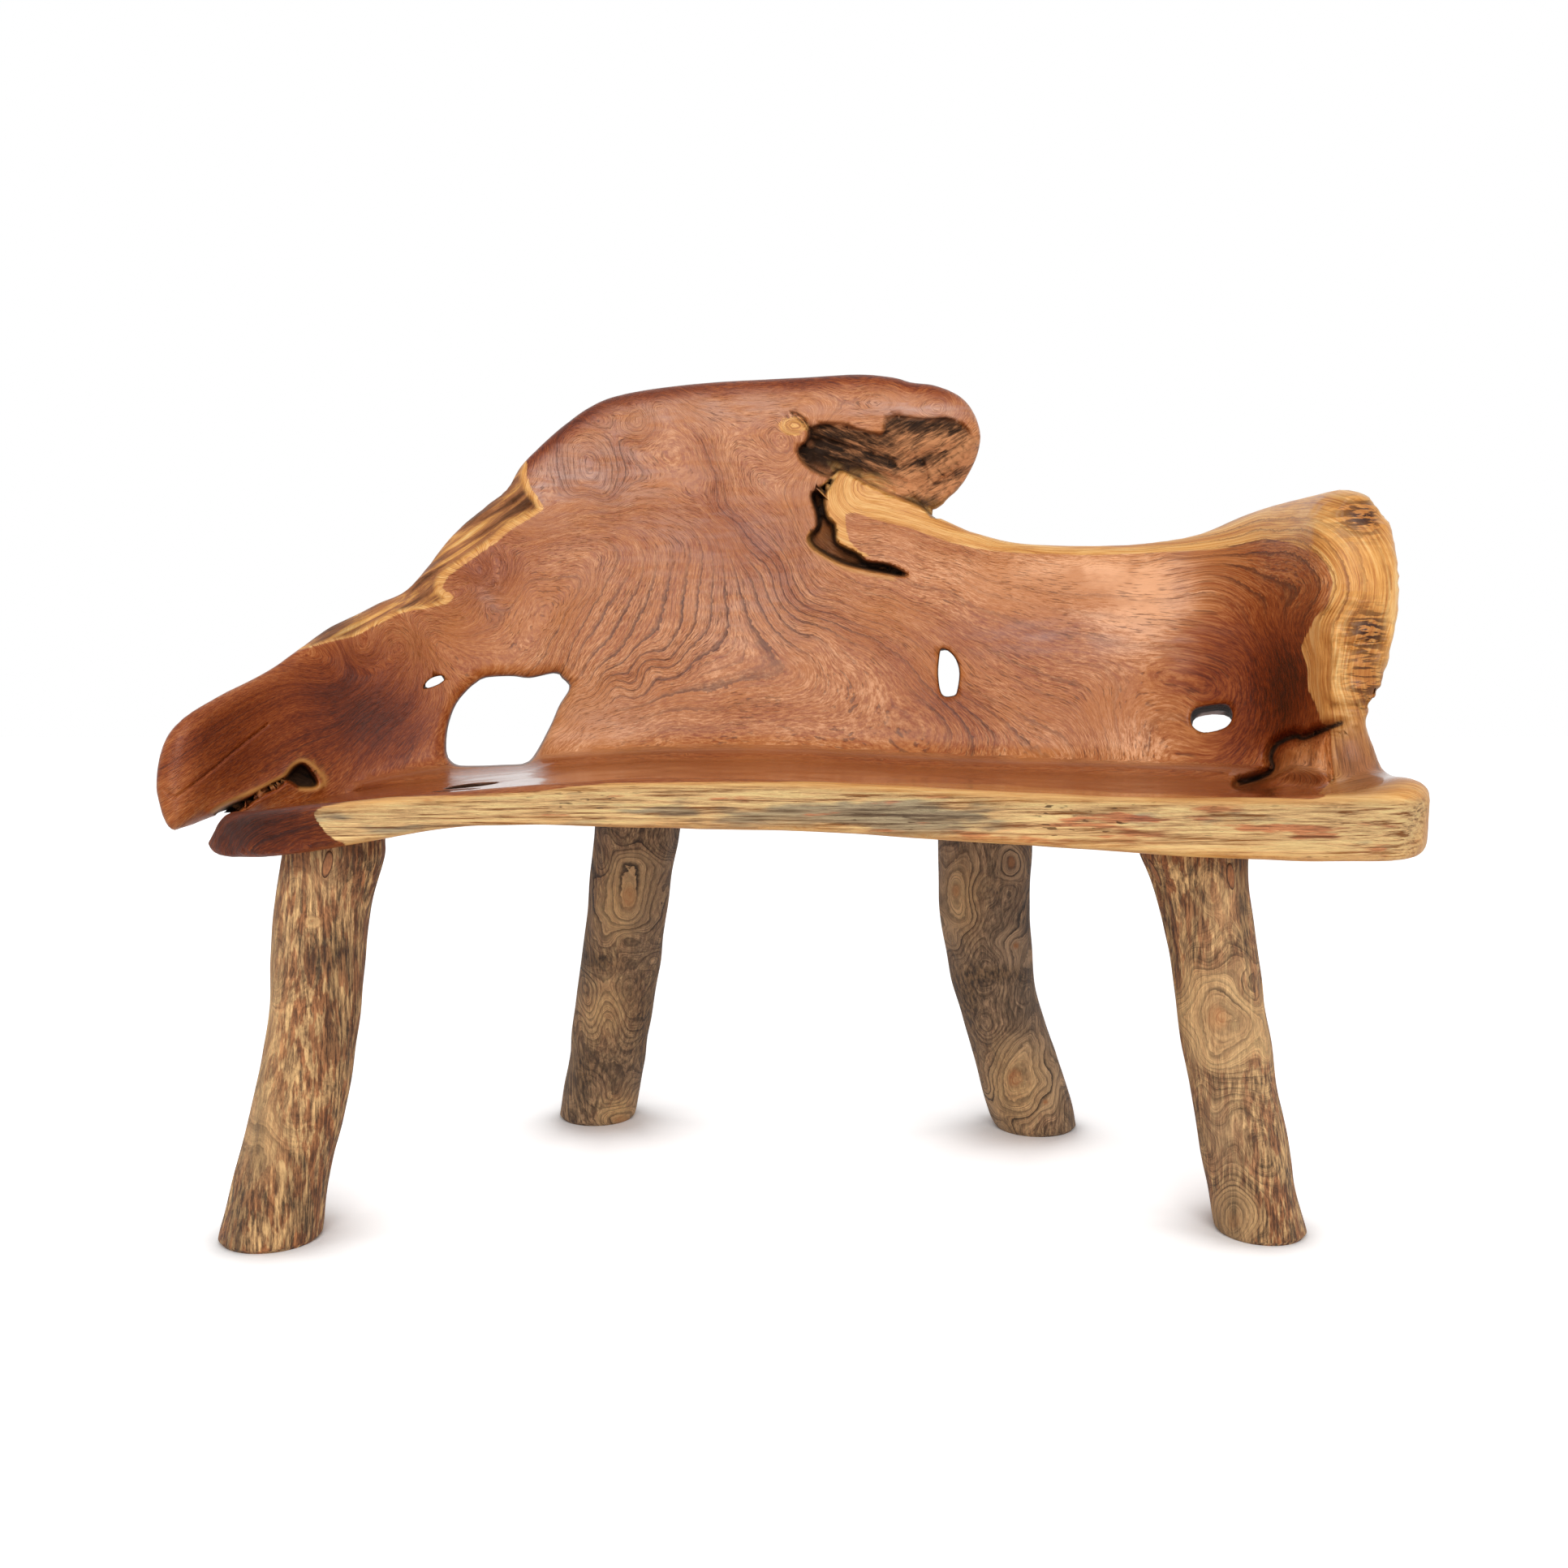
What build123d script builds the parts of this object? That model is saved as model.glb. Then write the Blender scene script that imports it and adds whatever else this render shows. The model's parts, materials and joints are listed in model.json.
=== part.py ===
"""Rustic log bench: one carved root shell (seat and back in a single piece) on four round log legs.

Frame: millimetres, +Z up, -Y towards the front edge of the seat, +X to the right as seen from the front.
While it is modelled the bench stands on Z = 0. At the end everything is shifted sideways, so that the
origin lies on the floor under the middle of the bench's bounding box.
"""

from build123d import *
import math
import os

# ---------------------------------------------------------------- seat slab
SEAT_Z = 440.0            # reference level of the seat's upper side above the floor
SLAB_LEFT_X = -572.0      # left tip of the slab
SLAB_RIGHT_X = 636.0      # right end of the slab
SLAB_FRONT_Y = -215.0     # foremost line of the front edge
SLAB_CORNER_R = 20.0      # rounding of the slab's long edges
SLAB_CORNER_SHARE = 0.44  # the most that the rounding takes of the slab's thickness

# Stations of the slab: (share of its length, front set-back, rear edge Y, top above SEAT_Z, thickness)
SLAB_STATIONS = [
    (0.000, 92.0, -66.0, -36.0, 36.0),
    (0.040, 36.0, 10.0, -25.0, 40.0),
    (0.114, 6.0, 140.0, -13.0, 43.0),
    (0.221, 2.0, 188.0, -1.0, 32.0),
    (0.348, 0.0, 205.0, 11.0, 44.0),
    (0.494, 0.0, 212.0, 9.0, 46.0),
    (0.659, 2.0, 212.0, -3.0, 48.0),
    (0.805, 4.0, 205.0, -8.0, 55.0),
    (0.903, 4.0, 165.0, -6.0, 59.0),
    (0.966, 18.0, 110.0, -5.0, 60.0),
    (0.988, 34.0, 72.0, -8.0, 58.0),
    (1.000, 54.0, 50.0, -14.0, 48.0),
]

# ---------------------------------------------------------------- back wall
BACK_LEAN = 0.21          # rearward shift of the wall for each unit of height
WALL_FOOT_Z = 372.0       # level down to which the wall's plan shape is drawn
WALL_TOP_Z = 925.0        # a level above the highest point of the wall
WALL_BURY = 14.0          # how far the wall's foot stays above the slab's underside

# Plan of the wall at seat level, from the left arm round the back to the right arm: (X, Y)
WALL_INNER = [(-588, -78), (-540, 0), (-440, 92), (-300, 142), (-100, 162), (150, 162),
              (330, 148), (440, 112), (510, 45), (540, -40), (552, -118)]
WALL_OUTER = [(-668, -40), (-610, 75), (-490, 152), (-320, 196), (-100, 212), (150, 212),
              (360, 204), (510, 172), (606, 96), (640, -10), (644, -112)]

# Front view of the wall, as (X, height above SEAT_Z)
BACK_CREST = [(-645, -36), (-650, 0), (-640, 45), (-613, 84), (-558, 124), (-520, 158), (-474, 185),
              (-438, 206), (-415, 236), (-389, 272), (-361, 302), (-330, 328), (-309, 360), (-266, 405),
              (-217, 437), (-160, 453), (-85, 461), (10, 466), (92, 469), (150, 463), (186, 455),
              (214, 441), (231, 418), (236, 385), (226, 345), (210, 316), (186, 297)]
WING_CREST = [(186, 297), (226, 276), (276, 262), (330, 256), (392, 255), (450, 261), (500, 273),
              (545, 294), (580, 304), (612, 298), (624, 266), (629, 222), (627, 182), (621, 140),
              (610, 92), (598, 62), (603, 40), (609, 15), (606, -20)]
ARM_UNDERSIDE = [(-505, -8), (-551, -20), (-584, -30), (-606, -40), (-628, -52), (-645, -36)]
WALL_FOOT_SHARES = [0.825, 0.64, 0.474, 0.309, 0.173, 0.07]   # where the buried foot line bends, along the slab

# Natural openings in the wall, as closed outlines of (X, height above SEAT_Z)
BIG_HOLE = [(-382, 36), (-376, 60), (-362, 84), (-336, 101), (-306, 108), (-280, 104), (-252, 110),
            (-238, 96), (-246, 78), (-264, 50), (-278, 22), (-300, 10), (-345, 8), (-376, 14)]
MIDDLE_HOLE = [(184, 148), (194, 147), (206, 132), (209, 114), (205, 96), (189, 93), (184, 110), (182, 130)]
RIGHT_HOLE = [(444, 66), (452, 78), (470, 84), (488, 74), (486, 62), (468, 52), (450, 54)]
SMALL_HOLE = [(-408, 94), (-398, 104), (-385, 112), (-391, 98), (-403, 92)]
ARM_HOLE = [(-520, 20), (-512, 28), (-500, 29), (-489, 19), (-484, 10), (-500, 6), (-514, 10)]

# The crevice between the tall lobe and the right wing, a closed outline with straight runs
CREVICE = [(186, 299), (150, 314), (105, 334), (72, 350), (58, 343), (46, 318), (46, 292), (36, 270),
           (44, 254), (84, 238), (146, 228), (100, 249), (70, 272), (66, 300), (70, 328), (110, 324),
           (150, 305)]

# The rotted hollow in the front of the tall lobe, a closed outline with straight runs and an upright floor
CAVITY = [(26, 394), (72, 406), (118, 396), (124, 410), (194, 414), (231, 392), (250, 372), (250, 345),
          (216, 314), (186, 290), (165, 304), (120, 325), (82, 345), (46, 345), (26, 355), (15, 374)]
CAVITY_FLOOR_Y = 260.0

# The fold down the left edge, where the outside of the log turns back: a line on the front of the wall,
# as (X, height above SEAT_Z), from which a slope runs up and out to the crest
FOLD = [(-319, 366), (-298, 306), (-330, 277), (-385, 229), (-398, 200), (-440, 173), (-500, 141),
        (-566, 130)]
FOLD_ACROSS = (-0.66, 0.75)    # the way from the line to the crest, in front view
FOLD_REACH = 60.0              # distance along it at which the slope ends, past the crest
FOLD_DEPTH = 42.0              # how far the slope has gone back by then
FOLD_LEAD = 2.0                # how far in front of the wall the slope starts

# The knot hole in the seat
SEAT_HOLE_CENTRE = (-308.0, -134.0)
SEAT_HOLE_LONG, SEAT_HOLE_WIDE = 48.0, 26.0
SEAT_HOLE_DEPTH = 24.0

HOLE_EASE_R = 10.0        # rounding of the rims of the big opening

CUT_CLEARANCE = 60.0      # how far cutters of the wall start before the slab
CUT_DEPTH = 760.0         # how far back they reach, past the leaning wall

# ---------------------------------------------------------------- legs
LEG_HOUSING = 9.0         # how deep the head of each leg is let into the slab
HEAD_STRAIGHT = 8.0       # straight length of the head below its housing
HOUSING_GAP = 0.6         # gap round the head of a leg in its housing
TENON_R = 22.0
TENON_LENGTH = 22.0
TENON_GAP = 0.2           # glue line round a tenon
TENON_END_GAP = 1.5       # air left above a tenon
SOLE_CHAMFER = 4.0
LEG_RING = 12             # points round each cross-section of a leg

# Each leg: head centre (X, Y); stations from head to sole as (share of the height from the head down,
# shift in X, shift in Y, half width in X, half width in Y); bearings of its toe screws, in degrees from
# the front towards +X; and how far the mouths of their holes lie below the head
LEGS = {
    "front_left": dict(
        head=(-452.0, -112.0), bearings=(10.0, 130.0, 250.0), screw_drop=25.0,
        stations=[(0.0, 0, 0, 51, 48), (0.16, -14, -4, 46, 45), (0.36, -17, -12, 45, 45),
                  (0.52, -22, -20, 45, 46), (0.70, -34, -28, 45, 46), (0.85, -47, -34, 46, 47),
                  (1.0, -56, -38, 49, 48)]),
    "front_right": dict(
        head=(414.0, -104.0), bearings=(-70.0, 25.0, 160.0), screw_drop=33.0,
        stations=[(0.0, 0, 0, 53, 49), (0.10, 8, -2, 46, 46), (0.26, 20, -6, 44, 45),
                  (0.44, 29, -12, 43, 45), (0.64, 41, -18, 43, 45), (0.84, 54, -24, 43, 45),
                  (1.0, 66, -28, 44, 46)]),
    "back_left": dict(
        head=(-164.0, 118.0), bearings=(-15.0, 105.0, 255.0), screw_drop=25.0,
        stations=[(0.0, 0, 0, 48, 46), (0.20, -15, 24, 46, 45), (0.40, -25, 50, 45, 45),
                  (0.60, -36, 78, 46, 45), (0.80, -51, 106, 46, 46), (1.0, -66, 132, 46, 46)]),
    "back_right": dict(
        head=(232.0, 112.0), bearings=(-20.0, 45.0, 170.0), screw_drop=26.0,
        stations=[(0.0, 0, 0, 53, 50), (0.20, -1, 14, 51, 49), (0.38, 4, 32, 49, 48),
                  (0.56, 19, 50, 48, 48), (0.76, 42, 72, 49, 48), (0.90, 60, 88, 50, 49),
                  (1.0, 71, 98, 49, 49)]),
}

# ---------------------------------------------------------------- toe screws and their wooden plugs
SCREW_ANGLE = 20.0        # between a screw and the face of its leg, degrees
SCREW_R = 2.5
SCREW_HEAD_R = 4.0
SCREW_HEAD_LENGTH = 3.0
SCREW_BITE = 20.0         # height that a screw reaches above the head of its leg
SCREW_POINT = 5.0         # length of its conical point
PLUG_R = 4.6
PLUG_LENGTH = 11.0        # along the screw, from the mouth of the hole to the screw's head
BORE_GAP = 0.06           # radial gap of a screw or plug in its hole
POINT_GAP = 0.5           # air past a screw's point
OUTSIDE = 60.0            # how far cutters and rods start outside a leg's face

UPWARD = (Align.CENTER, Align.CENTER, Align.MIN)


# ---------------------------------------------------------------- the root shell
def at_seat(points, y):
    """(X, height above the seat) pairs as 3-D points in the plane Y = y."""
    return [Vector(x, y, SEAT_Z + h) for x, h in points]


def smooth_loop(points, y):
    """A face in the plane Y = y bounded by one smooth closed curve through the points."""
    return Face(Wire([Edge.make_spline(at_seat(points, y), periodic=True)]))


def polygon(points, y):
    """A face in the plane Y = y bounded by straight runs between the points."""
    return Face(Wire.make_polygon(at_seat(points, y), close=True))


def station_face(share, front_setback, rear_y, top, thickness):
    """One upright cross-section of the slab, a rounded rectangle in a YZ plane."""
    front_y = SLAB_FRONT_Y + front_setback
    centre = Vector(slab_x(share), (front_y + rear_y) / 2, SEAT_Z + top - thickness / 2)
    plane = Plane(origin=centre, x_dir=(0, 1, 0), z_dir=(1, 0, 0))
    rounding = min(SLAB_CORNER_R, SLAB_CORNER_SHARE * thickness)
    return plane * RectangleRounded(rear_y - front_y, thickness, rounding)


def slab_x(share):
    """X at a share of the slab's length, from its left tip."""
    return SLAB_LEFT_X + share * (SLAB_RIGHT_X - SLAB_LEFT_X)


def between_stations(x, value):
    """A value of the slab's stations at x, taken in a straight line between its neighbours."""
    share = (x - SLAB_LEFT_X) / (SLAB_RIGHT_X - SLAB_LEFT_X)
    for before, after in zip(SLAB_STATIONS, SLAB_STATIONS[1:]):
        if before[0] <= share <= after[0]:
            part_way = (share - before[0]) / (after[0] - before[0])
            return value(before) + (value(after) - value(before)) * part_way
    raise ValueError(f"x = {x} lies beyond the slab")


def slab_top(x):
    """Height of the slab's upper side above SEAT_Z at x."""
    return between_stations(x, lambda s: s[3])


def slab_underside(x):
    """Level of the slab's underside at x."""
    return between_stations(x, lambda s: SEAT_Z + s[3] - s[4])


def seat_slab():
    """The seat: a loft through its upright stations."""
    return loft([station_face(*s) for s in SLAB_STATIONS])


def back_wall():
    """The leaning wall round the seat, cut to its front outline and pierced by its openings."""
    drop = BACK_LEAN * (WALL_FOOT_Z - SEAT_Z)
    inner = [Vector(x, y + drop, WALL_FOOT_Z) for x, y in WALL_INNER]
    outer = [Vector(x, y + drop, WALL_FOOT_Z) for x, y in WALL_OUTER]
    plan = Face(Wire([
        Edge.make_spline(inner),
        Edge.make_line(inner[-1], outer[-1]),
        Edge.make_spline(outer[::-1]),
        Edge.make_line(outer[0], inner[0]),
    ]))
    height = WALL_TOP_Z - WALL_FOOT_Z
    band = Solid.extrude(plan, Vector(0, BACK_LEAN * height, height))

    near_y = SLAB_FRONT_Y - CUT_CLEARANCE
    through = Vector(0, CUT_DEPTH, 0)
    foot = [(x, slab_underside(x) + WALL_BURY - SEAT_Z) for x in map(slab_x, WALL_FOOT_SHARES)]
    foot_line = at_seat([WING_CREST[-1], *foot, ARM_UNDERSIDE[0]], near_y)
    outline = Face(Wire([
        Edge.make_spline(at_seat(BACK_CREST, near_y)),
        Edge.make_spline(at_seat(WING_CREST, near_y)),
        *[Edge.make_line(a, b) for a, b in zip(foot_line, foot_line[1:])],
        Edge.make_spline(at_seat(ARM_UNDERSIDE, near_y)),
    ]))
    wall = band & Solid.extrude(outline, through)
    for hole in (BIG_HOLE, MIDDLE_HOLE, RIGHT_HOLE, SMALL_HOLE, ARM_HOLE):
        wall -= Solid.extrude(smooth_loop(hole, near_y), through)
    wall -= Solid.extrude(polygon(CREVICE, near_y), through)
    wall -= Solid.extrude(polygon(CAVITY, near_y), Vector(0, CAVITY_FLOOR_Y - near_y, 0))
    return ease_rims(wall - fold_cutter(near_y), BIG_HOLE)


def wall_front_y(x, height):
    """Y of the wall's front at x and this height above the seat."""
    for (x0, y0), (x1, y1) in zip(WALL_INNER, WALL_INNER[1:]):
        if x <= x1:
            return y0 + (y1 - y0) * (x - x0) / (x1 - x0) + BACK_LEAN * height
    raise ValueError(f"x = {x} lies beyond the wall")


def fold_cutter(near_y):
    """What lies in front of the fold's slope: a loft through parallel triangles."""
    sections = []
    for x, height in FOLD:
        out_x = x + FOLD_ACROSS[0] * FOLD_REACH
        out_height = height + FOLD_ACROSS[1] * FOLD_REACH
        start = Vector(x, wall_front_y(x, height) - FOLD_LEAD, SEAT_Z + height)
        end = Vector(out_x, wall_front_y(out_x, out_height) + FOLD_DEPTH, SEAT_Z + out_height)
        sections.append(Face(Wire.make_polygon([start, end, Vector(end.X, near_y, end.Z)], close=True)))
    return loft(sections, ruled=True)


def ease_rims(wall, outline):
    """Round both rims of the opening with this (X, height) outline."""
    left = min(x for x, _ in outline)
    right = max(x for x, _ in outline)
    low = SEAT_Z + min(h for _, h in outline)
    high = SEAT_Z + max(h for _, h in outline)
    rims = []
    for edge in wall.edges():
        box = edge.bounding_box()
        within_x = left - 1 < box.min.X and box.max.X < right + 1
        within_z = low - 1 < box.min.Z and box.max.Z < high + 1
        if within_x and within_z and box.size.X > (right - left) / 2:
            rims.append(edge)
    return fillet(rims, HOLE_EASE_R)


def root_shell():
    """Seat and back in one piece of root wood, before any joinery is cut."""
    shell = seat_slab() + back_wall()
    x, y = SEAT_HOLE_CENTRE
    floor = Plane(origin=(x, y, SEAT_Z + slab_top(x) - SEAT_HOLE_DEPTH))
    return shell - extrude(floor * Ellipse(SEAT_HOLE_LONG / 2, SEAT_HOLE_WIDE / 2), 2 * SEAT_HOLE_DEPTH)


# ---------------------------------------------------------------- legs
def head_level(leg):
    """Level of the flat shoulder on top of a leg, which is also the ceiling of its housing."""
    return slab_underside(leg["head"][0]) + LEG_HOUSING


def ring(leg, level, dx, dy, half_x, half_y):
    """A level cross-section of a leg, as a face with one smooth edge."""
    x, y = leg["head"]
    turns = [2 * math.pi * i / LEG_RING for i in range(LEG_RING)]
    points = [(x + dx + half_x * math.cos(a), y + dy + half_y * math.sin(a), level) for a in turns]
    return Face(Wire([Edge.make_spline([Vector(*p) for p in points], periodic=True)]))


def leg_body(leg):
    """A leg before drilling: straight head, bent log, eased sole and round tenon."""
    top = head_level(leg)
    straight = LEG_HOUSING + HEAD_STRAIGHT
    log_top = top - straight
    log_height = log_top - SOLE_CHAMFER
    stations = leg["stations"]
    head = extrude(ring(leg, log_top, *stations[0][1:]), amount=straight, dir=(0, 0, 1))
    log = loft([ring(leg, log_top - share * log_height, *rest) for share, *rest in stations])
    dx, dy, half_x, half_y = stations[-1][1:]
    sole = loft([
        ring(leg, SOLE_CHAMFER, dx, dy, half_x, half_y),
        ring(leg, 0, dx, dy, half_x - SOLE_CHAMFER, half_y - SOLE_CHAMFER),
    ])
    tenon = Pos(*leg["head"], top) * Cylinder(TENON_R, TENON_LENGTH, align=UPWARD)
    return head + log + sole + tenon


def housing_cutter(leg):
    """What is cut out of the slab for a leg: a shallow housing round its head and a blind mortise."""
    top = head_level(leg)
    dx, dy, half_x, half_y = leg["stations"][0][1:]
    depth = LEG_HOUSING + HEAD_STRAIGHT
    outline = ring(leg, top - depth, dx, dy, half_x + HOUSING_GAP, half_y + HOUSING_GAP)
    mortise_depth = TENON_LENGTH + TENON_END_GAP
    mortise = Pos(*leg["head"], top) * Cylinder(TENON_R + TENON_GAP, mortise_depth, align=UPWARD)
    return extrude(outline, amount=depth, dir=(0, 0, 1)) + mortise


# ---------------------------------------------------------------- toe screws and plugs
def leg_face(leg, bearing, drop):
    """The point of a leg's face at a bearing, this far below its head."""
    turn = math.radians(bearing)
    outward = Vector(math.sin(turn), -math.cos(turn), 0)
    straight = LEG_HOUSING + HEAD_STRAIGHT
    share = max(0.0, drop - straight) / (head_level(leg) - straight - SOLE_CHAMFER)
    stations = leg["stations"]
    for before, after in zip(stations, stations[1:]):
        if before[0] <= share <= after[0]:
            part_way = (share - before[0]) / (after[0] - before[0])
            dx, dy, half_x, half_y = [a + (b - a) * part_way for a, b in zip(before[1:], after[1:])]
            reach = half_x * half_y / math.hypot(half_y * outward.X, half_x * outward.Y)
            x, y = leg["head"]
            return Vector(x + dx, y + dy, head_level(leg) - drop) + outward * reach
    raise ValueError(f"drop = {drop} is longer than the leg")


def screw_plane(leg, bearing):
    """A plane at the mouth of a screw hole, on the leg's face, with its normal along the screw, upwards."""
    mouth = leg_face(leg, bearing, leg["screw_drop"])
    above = leg_face(leg, bearing, leg["screw_drop"] - PLUG_LENGTH)
    up_the_face = (above - mouth).normalized()
    turn = math.radians(bearing)
    sideways = Vector(math.cos(turn), math.sin(turn), 0)
    inward = sideways.cross(up_the_face)
    tilt = math.radians(SCREW_ANGLE)
    along = up_the_face * math.cos(tilt) - inward * math.sin(tilt)
    return Plane(origin=mouth, x_dir=sideways, z_dir=along)


def screw_length(leg, bearing):
    """Length under a screw's head, from the seat of the head to the point."""
    rise = screw_plane(leg, bearing).z_dir.Z
    return (leg["screw_drop"] + SCREW_BITE) / rise - PLUG_LENGTH - SCREW_HEAD_LENGTH


def screw(leg, bearing):
    """One screw: a flat round head, a shank and a conical point."""
    seat = PLUG_LENGTH + SCREW_HEAD_LENGTH
    end = seat + screw_length(leg, bearing)
    profile = Polyline(
        (0, PLUG_LENGTH), (SCREW_HEAD_R, PLUG_LENGTH), (SCREW_HEAD_R, seat), (SCREW_R, seat),
        (SCREW_R, end - SCREW_POINT), (0, end), close=True,
    )
    upright = revolve(Plane.XZ * make_face(profile), Axis.Z)
    return screw_plane(leg, bearing) * upright


def screw_cutter(leg, bearing):
    """The stepped hole for a screw and its plug, open at the leg's face."""
    seat = PLUG_LENGTH + SCREW_HEAD_LENGTH
    wide = Pos(0, 0, -OUTSIDE) * Cylinder(PLUG_R + BORE_GAP, OUTSIDE + seat, align=UPWARD)
    narrow = Cylinder(SCREW_R + BORE_GAP, seat + screw_length(leg, bearing) + POINT_GAP, align=UPWARD)
    return screw_plane(leg, bearing) * (wide + narrow)


def plug(leg, body, bearing):
    """A wooden plug over a screw's head, trimmed flush with the face of the leg."""
    rod = Pos(0, 0, -OUTSIDE) * Cylinder(PLUG_R, OUTSIDE + PLUG_LENGTH, align=UPWARD)
    return body & (screw_plane(leg, bearing) * rod)


# ---------------------------------------------------------------- the bench
def build():
    """Every node of the bench, by name."""
    nodes = {}
    shell = root_shell()
    for place, leg in LEGS.items():
        body = leg_body(leg)
        drilled = body
        shell -= housing_cutter(leg)
        screws = []
        for number, bearing in enumerate(leg["bearings"], start=1):
            cutter = screw_cutter(leg, bearing)
            drilled -= cutter
            shell -= cutter
            screws.append(screw(leg, bearing))
            nodes[f"plug_{place}_{number}"] = plug(leg, body, bearing)
        nodes[f"leg_{place}"] = drilled
        nodes[f"toe_screws_{place}"] = Compound(screws)
    nodes["root_shell"] = shell
    return nodes


def centred(nodes):
    """The nodes moved sideways, so that the origin is under the middle of the whole bench."""
    middle = Compound(list(nodes.values())).bounding_box().center()
    return {name: node.moved(Location((-middle.X, -middle.Y, 0))) for name, node in nodes.items()}


if __name__ == "__main__":
    os.makedirs("parts", exist_ok=True)
    for name, node in centred(build()).items():
        export_step(node, f"parts/{name}.step")
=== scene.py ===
"""Rustic log bench: a live-edge root shell (seat and back in one piece) on four round log legs.

Laid out as an add-on and run as a script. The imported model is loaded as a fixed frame, and each
operator makes one piece, or a group of like pieces, in the frame's own metres.

Shapes are written in millimetres in a modelling frame that stands on the floor, with X to the right,
Y to the back and Z up. SHIFT carries it into the frame's coordinates. Openings, hollows, figure and
colour of the show side are placed on the front chart: a plane 1932 units across, onto which every
point of the bench is projected from EYE. Patches on it are (X, Y, half width, half height, amount).
"""

import json

import bpy
import numpy as np
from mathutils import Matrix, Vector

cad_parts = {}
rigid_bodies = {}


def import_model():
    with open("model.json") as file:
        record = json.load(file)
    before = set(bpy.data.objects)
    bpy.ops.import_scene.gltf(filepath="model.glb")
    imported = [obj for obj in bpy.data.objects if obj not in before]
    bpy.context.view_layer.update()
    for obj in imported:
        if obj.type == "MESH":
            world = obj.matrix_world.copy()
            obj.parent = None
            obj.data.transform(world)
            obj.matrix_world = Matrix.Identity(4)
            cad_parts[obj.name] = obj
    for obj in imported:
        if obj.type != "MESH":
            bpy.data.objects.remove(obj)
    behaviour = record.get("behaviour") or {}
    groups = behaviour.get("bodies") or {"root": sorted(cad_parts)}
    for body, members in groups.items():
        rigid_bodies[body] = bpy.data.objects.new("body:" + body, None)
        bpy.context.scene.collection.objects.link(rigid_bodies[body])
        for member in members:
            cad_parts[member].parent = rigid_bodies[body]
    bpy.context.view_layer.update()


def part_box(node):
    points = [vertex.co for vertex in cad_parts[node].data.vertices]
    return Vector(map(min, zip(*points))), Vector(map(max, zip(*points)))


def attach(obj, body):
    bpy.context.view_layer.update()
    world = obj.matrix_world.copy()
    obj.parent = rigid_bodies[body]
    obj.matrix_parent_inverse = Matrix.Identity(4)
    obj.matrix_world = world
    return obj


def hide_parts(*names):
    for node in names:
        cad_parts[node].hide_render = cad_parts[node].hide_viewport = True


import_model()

bl_info = {
    "name": "Rustic log bench",
    "version": (1, 0, 0),
    "blender": (4, 5, 0),
    "location": "3D View > Sidebar > Bench",
    "description": "Makes a live-edge root bench on four log legs around its packed frame",
    "category": "Add Mesh",
}

# ---------------------------------------------------------------- places
MM = 0.001
SHELL_LOW = np.array([-650.04, -215.32])      # low corner of the root shell in the modelling frame, mm
SHIFT = np.array([*(np.array(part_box("root_shell")[0])[:2] / MM - SHELL_LOW), 0.0])

EYE = np.array([0.0, -1690.0, 575.0])         # where the front chart is projected from, mm
CHART_SIZE = 1932.0
CHART_LEVEL = 801.0                           # where things as high as the eye fall; the lens is shifted so
CHART_FOCAL = 1935.0                          # chart units from the eye to the chart

SEAT_Z = 440.0
BACK_LEAN = 0.21                              # rearward shift of the back for each unit of height

# Plan of the back at seat level: (X, Y) of its middle line, and half its thickness there
WALL_PLAN = [(-640, -82, 20), (-628, -59, 22), (-575, 38, 24), (-465, 122, 25), (-310, 169, 25),
    (-100, 187, 24), (150, 187, 24), (345, 176, 26), (475, 142, 31), (556, 70, 37), (588, -25, 40),
    (596, -115, 42)]

# Crest of the back in front view: (X, height above SEAT_Z)
BACK_CREST = [(-638, -36), (-650, 0), (-642, 43), (-611, 79), (-563, 120), (-529, 158), (-483, 187),
    (-450, 206), (-425, 237), (-403, 274), (-371, 307), (-338, 335), (-320, 364), (-274, 411), (-225, 445),
    (-163, 461), (-87, 470), (10, 476), (94, 482), (137, 478), (159, 471), (190, 466), (221, 451), (239, 425),
    (244, 390), (227, 348), (209, 321), (186, 301)]
WING_CREST = [(228, 281), (279, 268), (333, 264), (396, 264), (454, 268), (505, 277), (551, 296), (588, 306),
    (618, 297), (641, 268), (647, 223), (645, 182), (631, 140), (612, 92), (597, 62), (602, 40), (607, 15),
    (603, -20)]
WALL_FOOT = [(420, -46), (200, -42), (0, -38), (-200, -34), (-360, -40), (-490, -46)]
ARM_UNDERSIDE = [(-540, -46), (-572, -44), (-590, -40), (-606, -42), (-628, -52)]

# Openings through the back, on the front chart
BIG_HOLE = [(598, 835), (631, 833), (653, 835), (685, 829), (692, 835), (702, 847), (689, 869), (678, 895),
    (661, 928), (648, 941), (624, 943), (567, 944), (554, 937), (549, 926), (551, 898), (561, 869),
    (576, 850), (587, 841)]
MIDDLE_HOLE = [(1161, 799), (1175, 808), (1182, 827), (1179, 852), (1175, 857), (1161, 856), (1156, 833),
    (1157, 810)]
RIGHT_HOLE = [(1467, 883), (1472, 873), (1490, 868), (1512, 868), (1518, 883), (1509, 896), (1484, 902),
    (1470, 895)]
SMALL_HOLE = [(522, 847), (530, 837), (543, 833), (547, 837), (541, 842), (529, 847)]
RIGHT_HOLE_DRIFT = (0.03, 0.20)               # chart units that the right hole moves per mm of depth

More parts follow.
